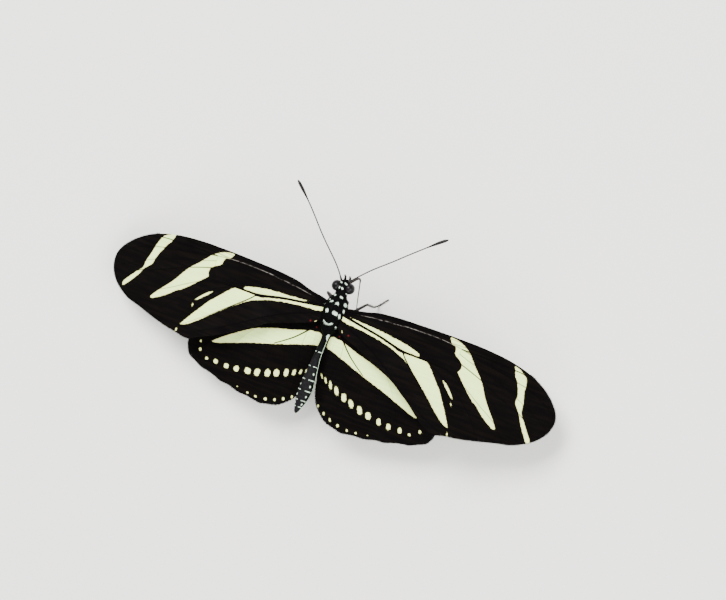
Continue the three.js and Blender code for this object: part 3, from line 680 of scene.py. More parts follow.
def wing_material(name, colours):
    """Wing scales: a velvet dark ground with pale stripes whose edges are ragged, as single scales
    are either dark or pale. The eye sees rows of scales, and grey streaks in the pale stripes:
    partly the veins' grey scales, partly painted shade in the folds along the veins."""
    material, tree = new_material(name)
    flat = add(tree, "ShaderNodeUVMap", uv_map="wing_flat")["UV"]
    # Real scales are 0.1 mm long, too fine to see, so their rows are drawn coarser, at about 0.28 mm.
    drawn = add(tree, "ShaderNodeMapping", Vector=flat, Scale=(0.35, 1, 1))["Vector"]
    ragged = add(tree, "ShaderNodeTexNoise", Vector=drawn, Scale=260.0, Detail=2.0, Roughness=0.6)["Fac"]
    turn = (0, 0, math.radians(22))
    drawn = add(tree, "ShaderNodeMapping", Vector=flat, Rotation=turn, Scale=(0.08, 1, 1))["Vector"]
    streaks = add(tree, "ShaderNodeTexNoise", Vector=drawn, Scale=90.0, Detail=3.0, Roughness=0.55)["Fac"]
    clouds = add(tree, "ShaderNodeTexNoise", Vector=flat, Scale=9.0, Detail=2.0)["Fac"]

    pale = add(tree, "ShaderNodeAttribute", attribute_name="pale")["Fac"]
    shift = add(tree, "ShaderNodeMath", operation="MULTIPLY_ADD", in_0=ragged, in_1=0.4, in_2=-0.235)
    depth = add(tree, "ShaderNodeMath", operation="ADD", in_0=pale, in_1=shift["Value"])["Value"]
    soft_step = {"interpolation_type": "SMOOTHSTEP", "From_Min": -0.05, "From_Max": 0.05}
    inside = add(tree, "ShaderNodeMapRange", Value=depth, **soft_step)["Result"]
    warm = add(tree, "ShaderNodeMapRange", Value=depth, From_Max=0.45, To_Min=0.55, To_Max=0.0)["Result"]
    range_of = {"From_Min": 0.42, "From_Max": 0.72, "To_Max": 0.55}
    browner = add(tree, "ShaderNodeMapRange", Value=streaks, **range_of)["Result"]
    # Grey streaks in the pale stripes: partly the veins' grey scales, partly painted shade in the folds
    range_of = {"From_Min": 0.45, "From_Max": 0.8, "To_Max": 0.22}
    vein_grey_and_fold_shade = add(tree, "ShaderNodeMapRange", Value=streaks, **range_of)["Result"]
    red = add(tree, "ShaderNodeAttribute", attribute_name="red")["Fac"]
    red = add(tree, "ShaderNodeMapRange", Value=red, From_Min=-0.05, From_Max=0.06)["Result"]
    ink = add(tree, "ShaderNodeAttribute", attribute_name="ink")["Fac"]
    # Painted highlight along the forewing stem, broken into dashes by the scale noise
    stem_highlight = add(tree, "ShaderNodeAttribute", attribute_name="stem_highlight")["Fac"]
    highlight_dashes = add(tree, "ShaderNodeMapRange", Value=ragged, From_Min=0.4, From_Max=0.56)["Result"]
    stem_highlight = add(tree, "ShaderNodeMath", operation="MULTIPLY", in_0=stem_highlight, in_1=highlight_dashes)["Value"]

    mix = {"kind": "ShaderNodeMix", "data_type": "RGBA"}
    dark = add(tree, **mix, in_0=browner, in_6=colours.black, in_7=colours.brown)[2]
    light = add(tree, **mix, in_0=warm, in_6=colours.pale, in_7=colours.cream)[2]
    light = add(tree, **mix, in_0=vein_grey_and_fold_shade, in_6=light, in_7=colours.vein)[2]
    seen = add(tree, **mix, in_0=inside, in_6=dark, in_7=light)[2]
    for share, over in ((red, colours.red), (ink, colours.black), (stem_highlight, colours.glint)):
        seen = add(tree, **mix, in_0=share, in_6=seen, in_7=over)[2]

    wave = {"bands_direction": "X", "Scale": 28.0, "Distortion": 3.0, "Detail": 2.0, "Detail_Scale": 2.0}
    rows = add(tree, "ShaderNodeTexWave", Vector=flat, **wave)["Fac"]
    relief = add(tree, "ShaderNodeMath", operation="ADD", in_0=rows, in_1=ragged)["Value"]
    bump = add(tree, "ShaderNodeBump", Strength=0.35, Distance=0.00003, Height=relief)["Normal"]
    range_of = {"From_Min": 0.3, "From_Max": 0.7, "To_Min": 0.6, "To_Max": 0.8}
    dull = add(tree, "ShaderNodeMapRange", Value=clouds, **range_of)["Result"]
    looks = {"Base_Color": seen, "Normal": bump, "Roughness": dull, "Specular_IOR_Level": 0.02}
    shader = add(tree, "ShaderNodeBsdfPrincipled", **looks)
    add(tree, "ShaderNodeOutputMaterial", Surface=shader["BSDF"])
    return material


def coat_material(name, colours):
    """Hair and scales of the body: dark, matt strands, pale ones in the marks, and charcoal ones
    on the back of the abdomen."""
    material, tree = new_material(name)
    place = add(tree, "ShaderNodeTexCoord")["Object"]
    grain = add(tree, "ShaderNodeTexNoise", Vector=place, Scale=2600.0, Detail=3.0)["Fac"]
    strand = add(tree, "ShaderNodeAttribute", attribute_name="strand")["Fac"]
    times = {"operation": "MULTIPLY", "use_clamp": True}
    grey = add(tree, "ShaderNodeMath", **times, in_0=grain, in_1=strand)["Value"]
    mark = add(tree, "ShaderNodeAttribute", attribute_name="mark")["Fac"]
    edge = add(tree, "ShaderNodeMath", operation="MULTIPLY_ADD", in_0=grain, in_1=0.16, in_2=mark)["Value"]
    soft_step = {"interpolation_type": "SMOOTHSTEP", "From_Min": 0.03, "From_Max": 0.13}
    inside = add(tree, "ShaderNodeMapRange", Value=edge, **soft_step)["Result"]
    mix = {"kind": "ShaderNodeMix", "data_type": "RGBA"}
    dark = add(tree, **mix, in_0=grey, in_6=colours.coat, in_7=colours.abdomen)[2]
    seen = add(tree, **mix, in_0=inside, in_6=dark, in_7=colours.mark)[2]
    bump = add(tree, "ShaderNodeBump", Strength=0.4, Distance=0.00004, Height=grain)["Normal"]
    looks = {"Base_Color": seen, "Normal": bump, "Roughness": 0.6, "Specular_IOR_Level": 0.03}
    shader = add(tree, "ShaderNodeBsdfPrincipled", **looks)
    add(tree, "ShaderNodeOutputMaterial", Surface=shader["BSDF"])
    return material


def eye_material(colours):
    """Compound eye: a dark, glossy dome whose small lenses break up the highlight, with grey patches
    of painted sheen.
    """
    material, tree = new_material("compound eye")
    place = add(tree, "ShaderNodeTexCoord")["Object"]
    # Real lenses are 0.025 mm wide, too fine to see, so they are drawn at 0.09 mm.
    lenses = add(tree, "ShaderNodeTexVoronoi", Vector=place, Scale=11000.0)["Distance"]
    # Grey patches of painted sheen on the dark eye, in the abdomen colour
    eye_sheen = add(tree, "ShaderNodeTexNoise", Vector=place, Scale=900.0, Detail=1.0)["Fac"]
    share = add(tree, "ShaderNodeMapRange", Value=eye_sheen, From_Min=0.45, From_Max=0.7, To_Max=0.3)["Result"]
    mix = {"kind": "ShaderNodeMix", "data_type": "RGBA"}
    seen = add(tree, **mix, in_0=share, in_6=colours.eye, in_7=colours.abdomen)[2]
    relief = {"Strength": 0.5, "Distance": 0.00002, "invert": True}
    bump = add(tree, "ShaderNodeBump", Height=lenses, **relief)["Normal"]
    looks = {"Base_Color": seen, "Normal": bump, "Roughness": 0.3, "Specular_IOR_Level": 0.12}
    shader = add(tree, "ShaderNodeBsdfPrincipled", Coat_Weight=0.07, Coat_Roughness=0.1, **looks)
    add(tree, "ShaderNodeOutputMaterial", Surface=shader["BSDF"])
    return material


def cuticle_material(colours):
    """Thinly scaled cuticle of feelers and legs: nearly black, half glossy, with a fine grain and an
    even share of painted sheen in the highlight colour.
    """
    material, tree = new_material("insect cuticle")
    place = add(tree, "ShaderNodeTexCoord")["Object"]
    grain = add(tree, "ShaderNodeTexNoise", Vector=place, Scale=5200.0, Detail=3.0)["Fac"]
    # light: an even share of painted sheen, in the highlight colour
    light = add(tree, "ShaderNodeAttribute", attribute_name="light")["Fac"]
    mix = {"kind": "ShaderNodeMix", "data_type": "RGBA"}
    seen = add(tree, **mix, in_0=light, in_6=colours.cuticle, in_7=colours.glint)[2]
    bump = add(tree, "ShaderNodeBump", Strength=0.4, Distance=0.00003, Height=grain)["Normal"]
    looks = {"Base_Color": seen, "Normal": bump, "Roughness": 0.42, "Specular_IOR_Level": 0.2}
    shader = add(tree, "ShaderNodeBsdfPrincipled", **looks)
    add(tree, "ShaderNodeOutputMaterial", Surface=shader["BSDF"])
    return material


def floor_material(colours):
    """Matt pale board under the butterfly, with the faintest unevenness."""
    material, tree = new_material("matt pale board")
    place = add(tree, "ShaderNodeTexCoord")["Object"]
    grain = add(tree, "ShaderNodeTexNoise", Vector=place, Scale=400.0, Detail=2.0)["Fac"]
    bump = add(tree, "ShaderNodeBump", Strength=0.05, Distance=0.0001, Height=grain)["Normal"]
    looks = {"Base_Color": colours.floor, "Normal": bump, "Roughness": 0.85}
    shader = add(tree, "ShaderNodeBsdfPrincipled", **looks)
    add(tree, "ShaderNodeOutputMaterial", Surface=shader["BSDF"])
    return material


def shared(name, make, *details):
    """The material of that name, made when it is first asked for."""
    return bpy.data.materials.get(name) or make(*details)


# Wings


def wing_sheet(outline, gap):
    """A flat sheet that fills an outline, with its rim moved onto the outline."""
    low = outline.min(0) - gap
    count = np.ceil((outline.max(0) + gap - low) / gap).astype(int)
    bm = bmesh.new()
    bmesh.ops.create_grid(bm, x_segments=int(count[0]), y_segments=int(count[1]), size=1)
    at = np.array([v.co[:2] for v in bm.verts])
    at = low + (at - at.min(0)) / (at.max(0) - at.min(0)) * count * gap
    for v, (x, y) in zip(bm.verts, at):
        v.co = (x, y, 0)
    depth = depth_inside(at, outline)
    outside = [v for v, deep in zip(bm.verts, depth) if deep < -0.45 * gap]
    bmesh.ops.delete(bm, geom=outside, context="VERTS")
    loose = [v for v in bm.verts if not v.link_faces]
    bmesh.ops.delete(bm, geom=loose, context="VERTS")
    rim = [v for v in bm.verts if v.is_boundary]
    ring = np.vstack([outline, outline[:1]])
    _, found = nearest(np.array([v.co[:2] for v in rim]), ring)
    for v, (x, y) in zip(rim, found):
        v.co = (x, y, 0)
    return bm


def wing_place(wing, side_name, flat):
    """Bends flat wing points (u, v, height) into body coordinates, as the CAD wings are."""
    side = SIDES[side_name]
    turn = math.radians(-side * SWEEP)
    u, v, height = flat.T
    out = math.cos(turn) * u - math.sin(turn) * v
    ahead = math.sin(turn) * u + math.cos(turn) * v
    most = math.radians(DROOP[wing, side_name])
    droop = most * (np.maximum(out, 0) / WING_LENGTH[wing]) ** DROOP_GROWTH
    twist = math.radians(TWIST[wing])
    lean = droop * (1 + DROOP_GROWTH * np.clip(out, 0, None) / WING_LENGTH[wing])
    x = side * (HINGE_OUT[wing] + out * np.cos(droop) + height * np.sin(lean))
    y = HINGE_AHEAD[wing, side_name] + ahead * math.cos(twist) + height * math.sin(twist)
    z = -HINGE_DROP[wing] - out * np.sin(droop) - ahead * math.sin(twist) + height * np.cos(lean)
    return np.stack([x, y, z], axis=1)


def pale_depth(wing, side_name, at):
    """How deep inside a pale mark each flat wing point is."""
    deepest = np.full(len(at), -9.0)
    stripes = list(STRIPES[wing])
    if wing == "forewing":
        stripes += [OUTER_STRIPE[side_name], INNER_STRIPE[side_name]]
    for stripe in stripes:
        deepest = np.maximum(deepest, depth_inside(at, spline(stripe, 3, closed=True)))
    rng = np.random.default_rng(SIDES[side_name] + 3)
    drawn_out = STRETCH[wing, side_name] if wing == "hindwing" else 1
    along_u, along_v = SPOT_AXIS[side_name]
    for (u, v), long, wide in SPOTS[wing]:
        varied = rng.uniform(1 - SPOT_VARIATION, 1 + SPOT_VARIATION, 2)
        long, wide = np.array([long, wide]) * SPOT_SHAPE[side_name] * varied
        angle = math.atan2(along_v, along_u) + rng.normal(0, SPOT_VARIATION)
        depth = depth_in_spot(at, (u * drawn_out, v), long, wide, angle)
        deepest = np.maximum(deepest, depth)
    if wing == "forewing":
        for middle, radius in ROOT_MARKS[side_name]:
            deepest = np.maximum(deepest, radius - np.linalg.norm(at - middle, axis=1))
    return deepest


def red_depth(wing, side_name, at):
    """How deep inside a red spot each flat wing point is."""
    middle, radius = RED_SPOTS[wing, side_name]
    return radius - np.linalg.norm(at - middle, axis=1)


def fringe_on(bm, outline, share, size, thickness):
    """Adds the fringe: short flat vanes that stand out from the rim."""
    ring, where = resample(np.vstack([outline, outline[:1]]), FRINGE_STEP)
    chosen = (where > share[0]) & (where < share[1])
    outward = np.gradient(ring, axis=0)[chosen]
    outward = np.stack([-outward[:, 1], outward[:, 0]], axis=1)
    outward /= np.linalg.norm(outward, axis=1)[:, None]
    roots = ring[chosen]
    if depth_inside(roots[:1] + 0.05 * outward[:1], outline)[0] > 0:
        outward = -outward
    rng = np.random.default_rng(7)
    lean = rng.normal(0, 0.18, len(roots))
    size = size * rng.uniform(0.55, 1.0, len(roots))
    across = np.stack([-outward[:, 1], outward[:, 0]], axis=1)
    outward = outward + across * lean[:, None]
    template = spike(4, 1)
    corners = points_of(template)
    copies = repeated(template, len(roots))
    mesh = bpy.data.meshes.new("fringe")
    copies.to_mesh(mesh)
    copies.free()
    x, y, z = corners.T
    flat = (
        roots[:, None, :]
        + outward[:, None, :] * ((z[None, :] - 0.12) * size[:, None])[:, :, None]
        + across[:, None, :] * (x[None, :] * FRINGE_WIDTH)[:, :, None]
    )
    height = np.broadcast_to(y[None, :] * thickness * 0.4, flat.shape[:2])
    placed = np.concatenate([flat, height[:, :, None]], axis=2).reshape(-1, 3)
    mesh.vertices.foreach_set("co", placed.astype(np.float32).ravel())
    bm.from_mesh(mesh)
    bpy.data.meshes.remove(mesh)


def build_wing(wing, side_name, sizes, colours):
    """One wing: membrane, veins and fringe, flat at first and then bent into its place."""
    drawn_out = (STRETCH[wing, side_name], 1)
    outline = spline(OUTLINE[wing] + REAR_EDGE[wing, side_name], 6, closed=True) * drawn_out
    thick = sizes.membrane / MM
    bm = wing_sheet(outline, sizes.grid / MM)
    bmesh.ops.solidify(bm, geom=bm.faces[:], thickness=thick)
    heights = [v.co.z for v in bm.verts]
    bmesh.ops.translate(bm, verts=bm.verts, vec=(0, 0, -(min(heights) + max(heights)) / 2))
    paths = [resample(spline(path, 8) * drawn_out, VEIN_STEP) for path, *_ in VEINS[wing]]
    at = np.array([v.co[:2] for v in bm.verts])
    away = np.min([nearest(at, path)[0] for path, _ in paths], axis=0)
    fold = sizes.ridge / MM * np.exp(-((away / VEIN_FOLD_WIDTH) ** 2))
    ink = bm.verts.layers.float.new("ink")
    for v, rise in zip(bm.verts, fold):
        v.co.z += rise
    for (path, share), (_, root, end, dark, dark_end) in zip(paths, VEINS[wing]):
        width = root + (end - root) * share
        height = np.full(len(path), thick / 2 + sizes.ridge / MM - 0.02)
        line = np.column_stack([path, height])
        for v in tube(bm, line, width / 2, sides=8, flatten=0.8):
            v[ink] = np.interp(v.co.x, INK_FADE[wing], (dark, dark_end))
    fringe_on(bm, outline, FRINGE[wing], sizes.fringe / MM, thick)

    name = f"{wing}_{side_name}_scales"
    material = shared(f"{wing} scales", wing_material, f"{wing} scales", colours)
    made = new_object(name, bm, [material])
    mesh = made.data
    flat = points_of(mesh)
    at = flat[:, :2]
    set_values(mesh, "pale", pale_depth(wing, side_name, at))
    set_values(mesh, "red", red_depth(wing, side_name, at))
    if wing == "forewing":
        # A painted highlight along the forewing stem, on the wing's top face only
        line, _ = nearest(at, spline(HIGHLIT_STEM, 6))
        stem_highlight = 0.6 * np.clip(1.4 * (1 - line / HIGHLIGHT_HALF_WIDTH), 0, 1) * (flat[:, 2] > thick)
        stem_highlight *= np.interp(at[:, 0], HIGHLIGHT_FADE, (0, 1, 1, 0))
    else:
        stem_highlight = np.zeros(len(at))
    set_values(mesh, "stem_highlight", stem_highlight)
    set_map(mesh, "wing_flat", at / FLAT_MAP_WIDTH + FLAT_MAP_CORNER)
    move_to(mesh, wing_place(wing, side_name, flat) + body_middle())
    if side_name == "left":
        mesh.flip_normals()
    mesh.set_sharp_from_angle(angle=math.radians(55))
    belongs(made, "wing_scales", f"{wing}_{side_name}")


class LONGWING_OT_forewings(bpy.types.Operator):
    """Builds the two forewings"""

    bl_idname = "longwing.forewings"
    bl_label = "Forewings"

    def execute(self, context):
        scene = context.scene
        for side_name in SIDES:
            build_wing("forewing", side_name, scene.longwing_sizes, scene.longwing_colours)
        return {"FINISHED"}


class LONGWING_OT_hindwings(bpy.types.Operator):
    """Builds the two hindwings"""

    bl_idname = "longwing.hindwings"
    bl_label = "Hindwings"

    def execute(self, context):
        scene = context.scene
        for side_name in SIDES:
            build_wing("hindwing", side_name, scene.longwing_sizes, scene.longwing_colours)
        return {"FINISHED"}


# Body


def body_stations(gap):
    """The body's middle line and half sizes at an even spacing from head to tail."""
    dense = spline(BODY, 12)
    return resample(dense, gap)[0]


def segment_growth(y):
    """How much each plate of the abdomen swells towards its rear edge, as a factor."""
    ends = np.array([ABDOMEN_FRONT, *SEGMENT_ENDS])
    factor = np.ones_like(y)
    for front, rear in zip(ends, ends[1:]):
        share = np.clip((front - y) / (front - rear), 0, 1)
        within = (y <= front) & (y > rear)
        tuck = np.clip(share / 0.1, 0, 1)
        factor = np.where(within, PLATE_FRONT + PLATE_TUCK * tuck + PLATE_SWELL * share, factor)
    return factor


def body_rings(inset):
    """Points of the skin, ring by ring, each ring starting from the top."""
    y, x, z, wide, deep = body_stations(SKIN_GRID).T
    growth = segment_growth(y)
    wide = np.maximum(wide * growth - inset, 0.04)
    deep = np.maximum(deep * growth - inset, 0.04)
    angle = np.arange(SKIN_SIDES) / SKIN_SIDES * 2 * math.pi
    across = np.sin(angle)[None, :]
    up = np.cos(angle)[None, :]
    rings = np.empty((len(y), SKIN_SIDES, 3))
    rings[:, :, 0] = x[:, None] + wide[:, None] * across
    rings[:, :, 1] = y[:, None]
    rings[:, :, 2] = z[:, None] + deep[:, None] * up
    # The back of the thorax: a shallow groove along the middle, and a lobe over each wing base.
    back = np.exp(-(((y - 2.6) / 1.6) ** 2))[:, None] * np.clip(up, 0, 1) ** 2
    rings[:, :, 2] -= 0.1 * back * np.exp(-((rings[:, :, 0] / 0.16) ** 2))
    lobe = np.exp(-(((y - 3.1) / 0.9) ** 2))[:, None] * np.exp(-(((np.abs(across) - 0.8) / 0.16) ** 2))
    rings[:, :, 2] += 0.16 * lobe * (up > 0)
    return rings


def round_the_body(at):
    """The angle of each point from the top of the body, to the right, and the half width there."""
    rows = body_stations(0.4)
    x, z, wide, deep = (np.interp(-at[:, 1], -rows[:, 0], rows[:, k]) for k in (1, 2, 3, 4))
    return np.arctan2((at[:, 0] - x) / wide, (at[:, 2] - z) / deep), wide


def mark_depth(at, normal):
    """How deep inside a pale mark of the body each point is."""
    deepest = np.full(len(at), -1.0)
    top = normal[:, 2] > 0.12
    for path, half in BACK_MARKS:
        away, _ = nearest(at[:, :2], np.array(path, float))
        deepest = np.where(top, np.maximum(deepest, half - away), deepest)
    y = at[:, 1]
    tail = y < -3.0
    angle, wide = round_the_body(at)
    angle = np.abs(np.degrees(angle) + ABDOMEN_ROLL)
    mm_per_degree = wide * math.pi / 180
    beads = SIDE_LINE_BEADS * np.sin(7 * y) * np.sin(17 * y)
    line = SIDE_LINE_HALF_WIDTH + beads - np.abs(angle - SIDE_LINE) * mm_per_degree
    belly = BELLY_LINE_HALF_WIDTH - np.abs(angle - BELLY_LINE) * mm_per_degree
    deepest = np.where(tail, np.maximum.reduce([deepest, line, belly]), deepest)
    past_bar = np.clip(np.maximum(BARS[0] - angle, angle - BARS[1]), 0, None)
    for front, rear in zip(SEGMENT_ENDS, SEGMENT_ENDS[1:]):
        bar = BAR_HALF_WIDTH - np.hypot(y - rear - 0.08, past_bar * mm_per_degree)
        spot_y = (front + rear) / 2
        spot_away = np.hypot((y - spot_y) * 0.75, (angle - BACK_SPOTS) * mm_per_degree)
        spot = BACK_SPOT_RADIUS - spot_away
        marks = [deepest, bar, spot] if spot_y <= FIRST_SPOT else [deepest, bar]
        deepest = np.where(tail, np.maximum.reduce(marks), deepest)
    return deepest


def grey_share(at):
    """How grey the dark ground is: the rear part of the abdomen's back is charcoal, the rest black."""
    angle, _ = round_the_body(at)
    angle = np.abs(np.degrees(angle) + ABDOMEN_ROLL)
    to_the_rear = np.interp(-at[:, 1], (4.5, 7.5), (0.05, 1))
    return to_the_rear * np.interp(angle, (GREY_BACK - 8, GREY_BACK + 6), (1, 0.05))


def normals_of(mesh):
    """A mesh's vertex normals as an array."""
    normal = np.empty(len(mesh.vertices) * 3, np.float32)
    mesh.vertex_normals.foreach_get("vector", normal)
    return normal.reshape(-1, 3).astype(float)


def skin_unwrap(at):
    """A place on the unwrapped skin for each point: round the body, and along it."""
    angle, _ = round_the_body(at)
    round_it = 0.5 + angle / (2 * math.pi) * UNWRAP_SHARE
    along_it = (1 - UNWRAP_SHARE) / 2 + (HEAD_TIP - at[:, 1]) / SKIN_LENGTH * UNWRAP_SHARE
    return np.stack([round_it, along_it], axis=1)


class LONGWING_OT_skin(bpy.types.Operator):
    """Builds one skin over head, thorax and abdomen"""

    bl_idname = "longwing.skin"
    bl_label = "Skin"

    def execute(self, context):
        sizes = context.scene.longwing_sizes
        colours = context.scene.longwing_colours
        rings = body_rings(sizes.coat_depth / MM)
        bm = bmesh.new()
        surface(bm, rings)
        material = shared("body scales", coat_material, "body scales", colours)
        made = new_object("skin", bm, [material])
        at = points_of(made.data)
        set_values(made.data, "mark", mark_depth(at, normals_of(made.data)))
        set_values(made.data, "strand", grey_share(at))
        set_map(made.data, "skin_unwrap", skin_unwrap(at))
        move_to(made.data, at + body_middle())
        belongs(made, "body_coat", "head", "thorax", "abdomen")
        return {"FINISHED"}


def coat_roots(rings, spacing, low_y, high_y, rng):
    """Random points over part of the skin, with their normals, about one for each spacing squared."""
    ahead = np.roll(rings, -1, axis=1) - rings
    below = np.vstack([rings[1:], rings[-1:]]) - rings
    across = np.cross(ahead, below)
    area = np.linalg.norm(across, axis=2)
    area = np.where((rings[:, :, 1] > low_y) & (rings[:, :, 1] < high_y), area, 0)
    count = int(area.sum() / spacing**2)
    cell = rng.choice(area.size, count, p=(area / area.sum()).ravel())
    i, j = np.unravel_index(cell, area.shape)
    s, t = rng.random((2, count, 1))
    root = rings[i, j] + s * ahead[i, j] + t * below[i, j]
    normal = across[i, j]
    normal /= np.maximum(np.linalg.norm(normal, axis=1), 1e-9)[:, None]
    middle = rings.mean(axis=1)[i]
    inward = np.einsum("ij,ij->i", normal, root - middle) < 0
    normal[inward] *= -1
    return root, normal


def strands(name, material, root, normal, length_mm, width_mm, lift, rng):
    """A coat of bent strands, one for each root, laid back towards the tail."""
    count = len(root)
    back = np.array([0, -1.0, 0]) + rng.normal(0, 0.22, (count, 3))
    back -= normal * np.einsum("ij,ij->i", back, normal)[:, None]
    back /= np.linalg.norm(back, axis=1)[:, None]
    side = np.cross(normal, back)
    template = spike(3, 3)
    corners = points_of(template)
    copies = repeated(template, count)
    made = new_object(name, copies, [material])
    x, y, z = corners.T
    size = (length_mm * rng.uniform(0.7, 1.15, count))[:, None]
    start = (root - normal * 0.04)[:, None, :]
    rise = size * (lift * z - 0.45 * lift * z**2)[None, :]
    at = (
        start
        + normal[:, None, :] * (rise + width_mm * 0.5 * y[None, :])[:, :, None]
        + back[:, None, :] * (size * (1 - 0.5 * lift) * z[None, :])[:, :, None]
        + side[:, None, :] * np.broadcast_to(width_mm * x[None, :], (count, len(x)))[:, :, None]
    )
    mesh = made.data
    each = len(corners)
    set_values(mesh, "mark", np.repeat(mark_depth(root, normal), each))
    tone = grey_share(root) * rng.uniform(0.6, 1.5, count)
    set_values(mesh, "strand", np.repeat(tone, each))
    patch = np.stack([x, z], axis=1) * STRAND_PATCH
    unwrapped = skin_unwrap(root)[:, None, :] + patch[None, :, :]
    set_map(mesh, "OFBake", unwrapped.reshape(-1, 2))
    move_to(mesh, at.reshape(-1, 3) + body_middle())
    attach(made, "root")
    return made


class LONGWING_OT_coat(bpy.types.Operator):
    """Builds the hair of head and thorax and the scales of the abdomen"""

    bl_idname = "longwing.coat"
    bl_label = "Coat"

    def execute(self, context):
        sizes = context.scene.longwing_sizes
        colours = context.scene.longwing_colours
        rng = np.random.default_rng(11)
        rings = body_rings(sizes.coat_depth / MM)
        material = shared("body hair", coat_material, "body hair", colours)
        lengths = {
            "thorax_hair": sizes.thorax_hair,
            "head_hair": sizes.head_hair,
            "abdomen_scales": sizes.abdomen_scale,
        }
        for name, (spacing, low_y, high_y, width, lift) in COAT.items():
            root, normal = coat_roots(rings, spacing, low_y, high_y, rng)
            strands(name, material, root, normal, lengths[name] / MM, width, lift, rng)
        return {"FINISHED"}


class LONGWING_OT_eyes(bpy.types.Operator):
    """Builds the two compound eyes"""

    bl_idname = "longwing.eyes"
    bl_label = "Eyes"

    def execute(self, context):
        material = shared("compound eye", eye_material, context.scene.longwing_colours)
        for side_name, side in SIDES.items():
            bm = bmesh.new()
            bmesh.ops.create_icosphere(bm, subdivisions=5, radius=1)
            made = new_object(f"compound_eye_{side_name}", bm, [material])
            x, y, z = EYE_MIDDLE
            middle = np.array([side * x, y + side * EYE_TURN, z])
            at = points_of(made.data)
            at = at * (EYE_RADII / np.linalg.norm(at, axis=1)[:, None]) + middle
            move_to(made.data, at + body_middle())
            belongs(made, "eye", f"eye_{side_name}")
        return {"FINISHED"}


def mirrored(points, side):
    """Points for one side of the body."""
    return np.array(points, float) * (side, 1, 1)


def bristle(bm, path, radius, at, out, ahead, stands, widths):
    """Adds a bristle to a limb, which stands off it and leans ahead by the two lengths in stands."""
    tip = path[at] + out * (radius[at] + stands[0]) + ahead * stands[1]
    line = np.linspace(path[at] + out * radius[at] * 0.7, tip, len(widths))
    tube(bm, line, np.array(widths), sides=4)


def limb_object(name, bm, colours, light, *nodes):
    """A finished limb of dark cuticle, with light as its share of painted sheen in the highlight colour."""
    made = new_object(name, bm, [shared("insect cuticle", cuticle_material, colours)])
    at = points_of(made.data)
    set_values(made.data, "light", np.full(len(at), light))
    move_to(made.data, at + body_middle())
    belongs(made, "cuticle", *nodes)


class LONGWING_OT_feelers(bpy.types.Operator):
    """Builds the antennae, the palps and the proboscis"""

    bl_idname = "longwing.feelers"
    bl_label = "Antennae, palps and proboscis"

    def execute(self, context):
        sizes = context.scene.longwing_sizes
        colours = context.scene.longwing_colours
        for side_name, side in SIDES.items():
            path, share = resample(spline(ANTENNA[side_name], 12), 0.12)
            shaft = sizes.antenna / MM
            club = sizes.club / MM
            swell = np.clip((share - CLUB_START) / CLUB_GROWTH, 0, 1)
            swell = swell * swell * (3 - 2 * swell)
            radius = shaft + (club - shaft) * swell
            radius *= np.sqrt(np.clip((1 - share) / CLUB_TIP, 0.02, 1))
            radius += ROOT_SWELL * np.exp(-(((share - ROOT_PLACE) / ROOT_PLACE) ** 2))
            radius *= 1 + 0.09 * np.sin(np.arange(len(path)) * RING_TURN)
            bm = bmesh.new()
            tube(bm, path, radius, sides=14)
            limb_object(f"feeler_{side_name}", bm, colours, 0.0, f"antenna_{side_name}")
            points = mirrored(PALP, side) + (PALP_OUT_OF_LINE, 0, 0)
            path, share = resample(spline(points, 10), 0.06)
            radius = 0.24 * (1 - share) ** 0.6 * (0.75 + 0.35 * np.sin(share * math.pi)) + 0.02
            bm = bmesh.new()
            tube(bm, path, radius, sides=12)
            rng = np.random.default_rng(5 + side)
            for _ in range(PALP_BRISTLES):
                at = rng.integers(2, len(path) - 2)
                out = rng.normal(0, 1, 3)
                out /= np.linalg.norm(out)
                ahead = path[at + 1] - path[at]
                ahead /= np.linalg.norm(ahead)
                bristle(bm, path, radius, at, out, ahead, (0.12, 0.28), (0.022, 0.018, 0.012, 0.003))
            limb_object(f"lip_palp_{side_name}", bm, colours, 0.0, f"palp_{side_name}")
        path, share = resample(spline(PROBOSCIS, 10), 0.1)
        root = sizes.proboscis / MM
        thin = np.clip((share - 0.24) / 0.12, 0, 1)
        radius = root * (1 - 0.42 * thin) * (1 - 0.35 * share)
        radius *= 1 + 0.05 * np.sin(np.arange(len(path)) * RING_TURN)
        bm = bmesh.new()
        tube(bm, path, radius, sides=14)
        limb_object("tongue", bm, colours, 0.05, "proboscis")
        return {"FINISHED"}


def leg_path(points):
    """A leg's middle line, with short bends at its joints."""
    p = np.array(points, float)
    rows = [p[0]]
    for a, b, c in zip(p, p[1:], p[2:]):
        reach = min(0.35, 0.3 * np.linalg.norm(b - a), 0.3 * np.linalg.norm(c - b))
        before = b + (a - b) / np.linalg.norm(a - b) * reach
        after = b + (c - b) / np.linalg.norm(c - b) * reach
        rows += [before, 0.25 * before + 0.5 * b + 0.25 * after, after]
    rows.append(p[-1])
    return np.array(rows)


def leg_radii(path, points):
    """A radius along a leg that swells in the middle of each long part."""
    p = np.array(points, float)
    run = np.concatenate([[0], np.cumsum(np.linalg.norm(np.diff(path, axis=0), axis=1))])
    joints = [run[np.argmin(np.linalg.norm(path - joint, axis=1))] for joint in p]
    widths = LEG_WIDTHS[: len(p)]
    radius = np.interp(run, joints, widths)
    share = np.interp(run, joints, np.arange(len(p)))
    long_part = np.isin(np.floor(share), (1, 2))
    swell = np.sin((share % 1) * math.pi)
    return radius * (1 + np.where(long_part, 0.12, 0.0) * swell)


